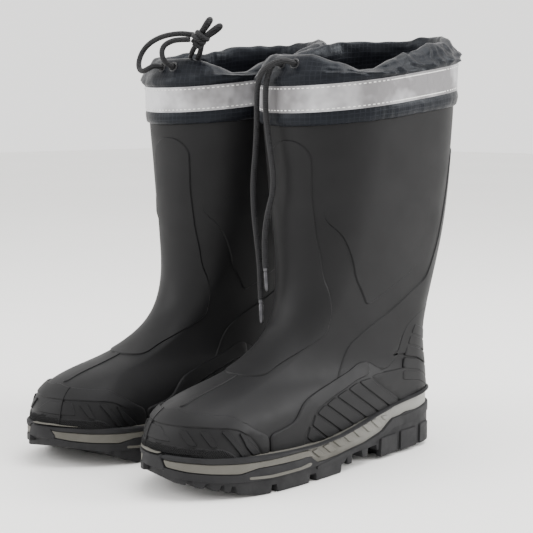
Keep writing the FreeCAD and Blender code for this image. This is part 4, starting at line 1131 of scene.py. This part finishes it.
# %% [markdown]
# A finish is made of nodes: a colour that varies a little, a roughness and a relief at the size that the real
# surface has. What is the same all over is set on the shader itself, and what varies is fed from noise on
# Object coordinates, or from the cloth's own UV map where a weave has to follow the cloth. Most finishes
# share one build, with two tones, a range of gloss and one or two grains of relief, so one function makes it.

# %% Nodes and their links


def node(made, kind, **values):
    """A node with its inputs (a plain value or another node's output) and its lower-case settings filled in."""
    fresh = made.node_tree.nodes.new(kind)
    for key, value in values.items():
        if not key[0].isupper():
            setattr(fresh, key, value)
        elif isinstance(value, bpy.types.NodeSocket):
            made.node_tree.links.new(value, fresh.inputs[key.replace("_", " ")])
        else:
            fresh.inputs[key.replace("_", " ")].default_value = value
    return fresh


def plug(made, target, value):
    """Sets an input to a plain number or colour, or links a socket to it."""
    if isinstance(value, bpy.types.NodeSocket):
        made.node_tree.links.new(value, target)
    else:
        target.default_value = (*value, 1) if isinstance(value, tuple) else value


def feed(made, **sources):
    """Links sockets to the shader's inputs."""
    for key, source in sources.items():
        plug(made, made.node_tree.nodes["Principled BSDF"].inputs[key.replace("_", " ")], source)


def fed(made, key):
    """What is already fed to a socket of the shader, to build on."""
    return made.node_tree.nodes["Principled BSDF"].inputs[key].links[0].from_socket


print("nodes ready")

# %% Coordinates, clouds and ranges


def coordinates(made, uv_map=None, **mapping):
    """Object coordinates, or a UV map's, through a Mapping node."""
    if uv_map:
        source = node(made, "ShaderNodeUVMap", uv_map=uv_map).outputs["UV"]
    else:
        source = node(made, "ShaderNodeTexCoord").outputs["Object"]
    return node(made, "ShaderNodeMapping", Vector=source, **mapping).outputs["Vector"]


def cloud(made, place, scale, detail=3.0, rough=0.55):
    return node(made, "ShaderNodeTexNoise", Vector=place, Scale=scale, Detail=detail,
                Roughness=rough).outputs["Fac"]


def ramp(made, value, low, high, from_low=0.3, from_high=0.7):
    """Maps noise to a range of plain numbers."""
    return node(made, "ShaderNodeMapRange", Value=value, From_Min=from_low, From_Max=from_high, To_Min=low,
                To_Max=high).outputs["Result"]


def sum_of(made, kind, first, second=0.0):
    """A Math node's result for two plain numbers or sockets."""
    fresh = node(made, "ShaderNodeMath", operation=kind)
    plug(made, fresh.inputs[0], first)
    plug(made, fresh.inputs[1], second)
    return fresh.outputs["Value"]


print("ranges ready")

# %% Tones and relief


def blend_tones(made, factor, first, second):
    """Mixes two colours, each plain or from a socket, by a factor."""
    fresh = node(made, "ShaderNodeMix", data_type="RGBA", Factor=factor)
    plug(made, fresh.inputs[6], first)
    plug(made, fresh.inputs[7], second)
    return fresh.outputs[2]


def two_tone(made, value, first, second, from_low=0.3, from_high=0.7):
    return blend_tones(made, ramp(made, value, 0, 1, from_low, from_high), first, second)


def relief(made, height, depth_mm, strength=1.0, under=None):
    """Bump of a real depth, over an earlier relief if there is one."""
    fresh = node(made, "ShaderNodeBump", Strength=strength, Distance=depth_mm * MM, Height=height)
    if under:
        plug(made, fresh.inputs["Normal"], under)
    return fresh.outputs["Normal"]


def grid_lines(made, place, pitch_mm, width):
    """1 on the lines of a square grid, 0 between them."""
    split = node(made, "ShaderNodeSeparateXYZ", Vector=place)
    lines = []
    for axis in "XY":
        share = sum_of(made, "FRACT", sum_of(made, "MULTIPLY", split.outputs[axis], 1000 / pitch_mm))
        from_middle = sum_of(made, "ABSOLUTE", sum_of(made, "SUBTRACT", share, 0.5))
        lines.append(ramp(made, from_middle, 1, 0, width * 0.5, width))
    return sum_of(made, "MAXIMUM", lines[0], lines[1])


print("tones ready")

# %% A finish with two tones, a range of gloss and grain


def finish(name, colour, roughness, tones, gloss=None, grain=(), **same):
    """tones = (scale, detail, first, second, more), gloss = (scale, low, high), grain = rows of (scale, detail,
    depth in mm, strength), the coarsest first; 'same' are sockets that are equal all over."""
    made = bpy.data.materials.new(name)
    made.use_nodes = True
    shader = made.node_tree.nodes["Principled BSDF"]
    shader.inputs["Base Color"].default_value = (*colour, 1)
    shader.inputs["Roughness"].default_value = roughness
    for key, value in same.items():
        shader.inputs[key.replace("_", " ")].default_value = value
    place = coordinates(made) if tones or gloss or grain else None
    if tones:
        feed(made, Base_Color=two_tone(made, cloud(made, place, *tones[:2]), *tones[2:]))
    if gloss:
        feed(made, Roughness=ramp(made, cloud(made, place, gloss[0]), *gloss[1:]))
    under = None
    for scale, detail, depth_mm, strength in grain:
        under = relief(made, cloud(made, place, scale, detail), depth_mm, strength, under)
    if under:
        feed(made, Normal=under)
    return made


print("finish kit ready")

# %% [markdown]
# Boot rubber is a near-black satin: the mould leaves a very fine grain, the compound has faint grey clouds
# of bloom, and its gloss changes a little from place to place. The outsole is a harder, duller mix with dust
# in its texture, and the midsole is warm grey foam, paler towards the heel.

# %% Rubber and foam finishes
rubber_finish = finish("satin_boot_rubber", (0.008, 0.008, 0.0088), 0.52,
                       tones=(16, 3, (0.0055, 0.0055, 0.006), (0.0085, 0.0085, 0.0092)), gloss=(34, 0.48, 0.58),
                       grain=((22, 2, 0.9, 0.12), (1500, 2, 0.05, 0.5)), Specular_IOR_Level=0.16)
tread_finish = finish("matte_tread_rubber", (0.010, 0.010, 0.011), 0.7,
                      tones=(60, 3, (0.008, 0.008, 0.009), (0.014, 0.014, 0.015)), gloss=(90, 0.6, 0.78),
                      grain=((900, 3, 0.15, 0.6),), Specular_IOR_Level=0.24)
foam_finish = finish("warm_grey_foam", (0.16, 0.155, 0.14), 0.62,
                     tones=(45, 3, (0.070, 0.067, 0.057), (0.095, 0.091, 0.080)), gloss=(70, 0.55, 0.7),
                     grain=((1100, 2, 0.12, 0.5),), Specular_IOR_Level=0.3)
apart = node(foam_finish, "ShaderNodeSeparateXYZ", Vector=coordinates(foam_finish))
heelward = ramp(foam_finish, apart.outputs["Y"], 0, 1, -0.02, 0.15)
feed(foam_finish,
     Base_Color=blend_tones(foam_finish, heelward, fed(foam_finish, "Base Color"), (0.24, 0.24, 0.225)))
print("rubber finishes ready")

# %% [markdown]
# The collar is ripstop: plain fine nylon with a thicker thread every 4 mm both ways. The cloth's UV map is in
# metres, so the grid is true to size wherever the cloth folds. The tape is silver glass-bead fabric with a
# fine sparkle; its colour has large dark grey patches among the silver, a painted reflection that stands in
# for the tape's shifting mirror-like sheen. The stitches are white polyester.

# %% Nylon and tape
nylon_finish = finish("ripstop_nylon", (0.006, 0.0065, 0.009), 0.36,
                      tones=(40, 3, (0.0035, 0.0038, 0.005), (0.006, 0.0066, 0.009)), gloss=(120, 0.32, 0.42),
                      grain=((130, 3, 1.1, 0.35),), Specular_IOR_Level=0.13, Specular_Tint=(0.84, 0.92, 1.0, 1),
                      Sheen_Weight=0.01, Sheen_Roughness=0.4)
cloth = coordinates(nylon_finish, "weave")
thread = grid_lines(nylon_finish, cloth, 4.0, 0.09)
fine = grid_lines(nylon_finish, cloth, 0.8, 0.3)
feed(nylon_finish,
     Base_Color=blend_tones(nylon_finish, thread, fed(nylon_finish, "Base Color"), (0.009, 0.0098, 0.013)),
     Normal=relief(nylon_finish, thread, 0.12, 0.6,
                   relief(nylon_finish, fine, 0.05, 0.4, fed(nylon_finish, "Normal"))))

# The tones' dark grey and silver patches are painted reflection, standing in for the tape's mirror-like sheen.
tape_finish = finish("silver_reflective_tape", (0.52, 0.52, 0.53), 0.42,
                     tones=(13, 4, (0.16, 0.155, 0.16), (0.56, 0.56, 0.58), 0.4, 0.6), gloss=(60, 0.36, 0.5),
                     grain=((160, 3, 0.8, 0.3),), Metallic=0.35, Specular_IOR_Level=0.5)
beads = node(tape_finish, "ShaderNodeTexVoronoi", Vector=coordinates(tape_finish), Scale=2400)
feed(tape_finish, Normal=relief(tape_finish, beads.outputs["Distance"], 0.04, 0.5, fed(tape_finish, "Normal")))
print("nylon and tape ready")

# %% Thread, fleece and felt
thread_finish = finish("white_thread", (0.72, 0.72, 0.70), 0.7, tones=(900, 3, (0.6, 0.6, 0.58), (0.82, 0.82, 0.8)),
                       grain=((2500, 1, 0.08, 0.6),), Sheen_Weight=0.2)
fleece_finish = finish("grey_fleece", (0.20, 0.20, 0.21), 0.95,
                       tones=(260, 4, (0.12, 0.12, 0.13), (0.27, 0.27, 0.28)), grain=((420, 4, 1.2, 0.8),),
                       Specular_IOR_Level=0.1, Sheen_Weight=0.4)
felt_finish = finish("felt_footbed", (0.10, 0.10, 0.11), 0.95,
                     tones=(500, 5, (0.06, 0.06, 0.07), (0.15, 0.15, 0.16)), grain=((900, 4, 0.5, 0.8),),
                     Specular_IOR_Level=0.1, Sheen_Weight=0.2)
print("cloth finishes ready")

# %% [markdown]
# The drawcord is a braid: strands cross it slantwise both ways, which two wave patterns slanted against each
# other give. The hidden parts get plain true finishes too, since they show when the inside is opened.

# %% The braid
braid_finish = finish("charcoal_braid", (0.01, 0.01, 0.011), 0.62, tones=None, Specular_IOR_Level=0.2,
                      Sheen_Weight=0.04)
strands = []
for slant in (1, -1):
    tilt = coordinates(braid_finish, Rotation=(0.5 * slant, 0.9 * slant, 0.6))
    bands = node(braid_finish, "ShaderNodeTexWave", Vector=tilt, Scale=190, Distortion=0.6, Detail=1.0)
    strands.append(bands.outputs["Fac"])
weave = sum_of(braid_finish, "MAXIMUM", strands[0], strands[1])
feed(braid_finish,
     Base_Color=two_tone(braid_finish, weave, (0.004, 0.004, 0.0045), (0.014, 0.014, 0.0155), 0.2, 0.9),
     Normal=relief(braid_finish, weave, 0.5, 0.8))

print("braid ready")

# %% Metal and board
tip_finish = finish("dark_tip_metal", (0.06, 0.06, 0.065), 0.34,
                    tones=(300, 3, (0.045, 0.045, 0.05), (0.09, 0.09, 0.095)), gloss=(500, 0.26, 0.44),
                    Metallic=0.85)
enamel_finish = finish("black_enamel", (0.012, 0.012, 0.013), 0.3,
                       tones=(400, 3, (0.010, 0.010, 0.011), (0.022, 0.022, 0.024)), gloss=(600, 0.2, 0.34),
                       Specular_IOR_Level=0.25)
board_finish = finish("fibreboard", (0.20, 0.14, 0.09), 0.9,
                      tones=(700, 5, (0.15, 0.10, 0.06), (0.26, 0.19, 0.12)), grain=((900, 3, 0.2, 0.6),))
steel_finish = finish("spring_steel", (0.42, 0.42, 0.44), 0.35, tones=None, Metallic=1.0)
brushed = coordinates(steel_finish, Scale=(1, 0.05, 1))
feed(steel_finish, Roughness=ramp(steel_finish, cloud(steel_finish, brushed, 900, 2), 0.28, 0.45))
print("metal and board ready")

# %% Floor and room
floor_finish = finish("pale_floor", (0.88, 0.87, 0.85), 0.65,
                      tones=(1.2, 3, (0.87, 0.865, 0.85), (0.90, 0.895, 0.88)), Specular_IOR_Level=0.2)
floor.data.materials.append(floor_finish)
world = bpy.data.worlds.new("pale_room")
world.use_nodes = True
bpy.context.scene.world = world
world.node_tree.nodes["Background"].inputs["Color"].default_value = (1.0, 0.99, 0.975, 1)
world.node_tree.nodes["Background"].inputs["Strength"].default_value = 1.8
print("all finishes ready")

# %% [markdown]
# Both boots are the same last turned over, so the left boot's rubber and soles are copied to the other side.
# A mirrored mesh is inside out, so its faces are flipped. Then every piece gets its finish, stands for its
# CAD piece and rides on its body.

# %% Dress both boots


def give(piece, material):
    piece.data.materials.clear()
    piece.data.materials.append(material)
    return piece


def other_boot(piece):
    """The same piece for the right boot: its own mesh, mirrored, with its faces turned outward again."""
    pick_up(piece)
    bpy.ops.object.duplicate()
    copy = bpy.context.object
    copy.name = piece.name.replace("left_", "right_")
    move_points(copy, points_of(copy) * (-1, 1, 1))
    open_up(copy)
    bpy.ops.mesh.flip_normals()
    put_down()
    return copy


def settle(piece, word, nodes, body=None):
    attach(piece, body or f"{word}_boot")
    if nodes:
        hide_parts(*nodes)
    return piece


def joined(pieces, name):
    pick_up(*pieces)
    bpy.ops.object.join()
    piece = bpy.context.object
    piece.name = name
    return piece


print("dressing: ready")

# %% Dress the rubber, the soles and the inside
WALL_THICK = 0.0025
harden(shell, "SOLIDIFY", thickness=WALL_THICK, offset=-1)
smooth(shell, 60)
ribs_piece = joined(ribs, "left_moulded_ribs")
blocks_piece = joined(blocks, "left_arch_blocks")
rim_piece = joined(rim_pieces, "left_rim_steps")
rubber_pieces = [(shell, "upper_shell"), (toe_cap, "toe_cap"), (vamp_ridge, "vamp_ridge"),
                 (shin_guard, "shin_guard"), (calf_pieces[0], "outer_calf_panel"),
                 (calf_pieces[1], "inner_calf_panel"), (back_stay, "back_stay"), (heel_counter, "heel_counter"),
                 (guards[0], "outer_side_guard"), (guards[1], "inner_side_guard"), (ribs_piece, None),
                 (cap_band, None), (guard_frames[0], None), (guard_frames[1], None)]
dressing = [(outsole, "outsole", tread_finish, "outsole_rubber"), (midsole, "midsole", foam_finish, "midsole_eva"),
            (blocks_piece, None, foam_finish, "midsole_eva"), (rim_piece, None, tread_finish, "outsole_rubber"),
            (knurled_band, None, rubber_finish, "boot_rubber"), (studs_piece, None, rubber_finish, "boot_rubber"),
            (lining, "lining", fleece_finish, "lining_fleece"), (footbed, "footbed", felt_finish, "footbed_foam")]
dressing += [(piece, cad, rubber_finish, "boot_rubber") for piece, cad in rubber_pieces]
for piece, cad, material, slot_name in dressing:
    give(piece, material)
    twin = other_boot(piece)
    for word, one_piece in (("left", piece), ("right", twin)):
        body = f"{word}_footbed" if cad == "footbed" else None
        settle(one_piece, word, [f"{word}_{cad}"] if cad else [], body)
print("rubber and soles dressed:", 2 * len(dressing))

# %% [markdown]
# The collar, tape and cords differ between the boots, so each was made for its own side: the right boot's
# collar, tape and stitches are turned over into place here, and the rest already stands there. The drawcord
# inside the hem is a copy of its CAD piece that follows the slumped mouth.

# %% Dress the collars
for word in ("left", "right"):
    collar, tape, stitch = collars[word], tapes[word], stitches[word]
    if word == "right":
        for piece in (collar, tape, stitch):
            move_points(piece, points_of(piece) * (-1, 1, 1))
            open_up(piece)
            bpy.ops.mesh.flip_normals()
            put_down()
    settle(give(collar, nylon_finish), word, [f"{word}_cuff", f"{word}_cuff_hem"])
    settle(give(tape, tape_finish), word, [f"{word}_reflective_tape"])
    settle(give(stitch, thread_finish), word, [])
    settle(give(eyelets[word], enamel_finish), word, [f"{word}_eyelets"])
    settle(give(tips[word], tip_finish), word, [f"{word}_aglets"])
print("collars dressed")

# %% Dress the cords and the hidden pieces
for word, flip in (("left", 1), ("right", -1)):
    for cad, material in (("shank", steel_finish), ("insole_board", board_finish)):
        give(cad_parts[f"{word}_{cad}"], material)
    run = finished_copy(f"{word}_drawcord_run", f"{word}_drawcord_in_the_hem")
    spots = slumped(points_of(run) / MM * (flip, 1, 1), flip)
    move_points(run, spots * (flip, 1, 1) * MM)
    settle(give(run, braid_finish), word, [f"{word}_drawcord_run"])
for piece, cad in zip(tails, ("left_cord_tail_outer", "left_cord_tail_inner")):
    settle(give(piece, braid_finish), "left", [cad])
for piece, cad in zip(loops, ("right_cord_loop_outer", "right_cord_loop_inner")):
    settle(give(piece, braid_finish), "right", [cad])
settle(give(knot, braid_finish), "right", ["right_knot", "right_cord_end_upper", "right_cord_end_lower"])
print("cords dressed")
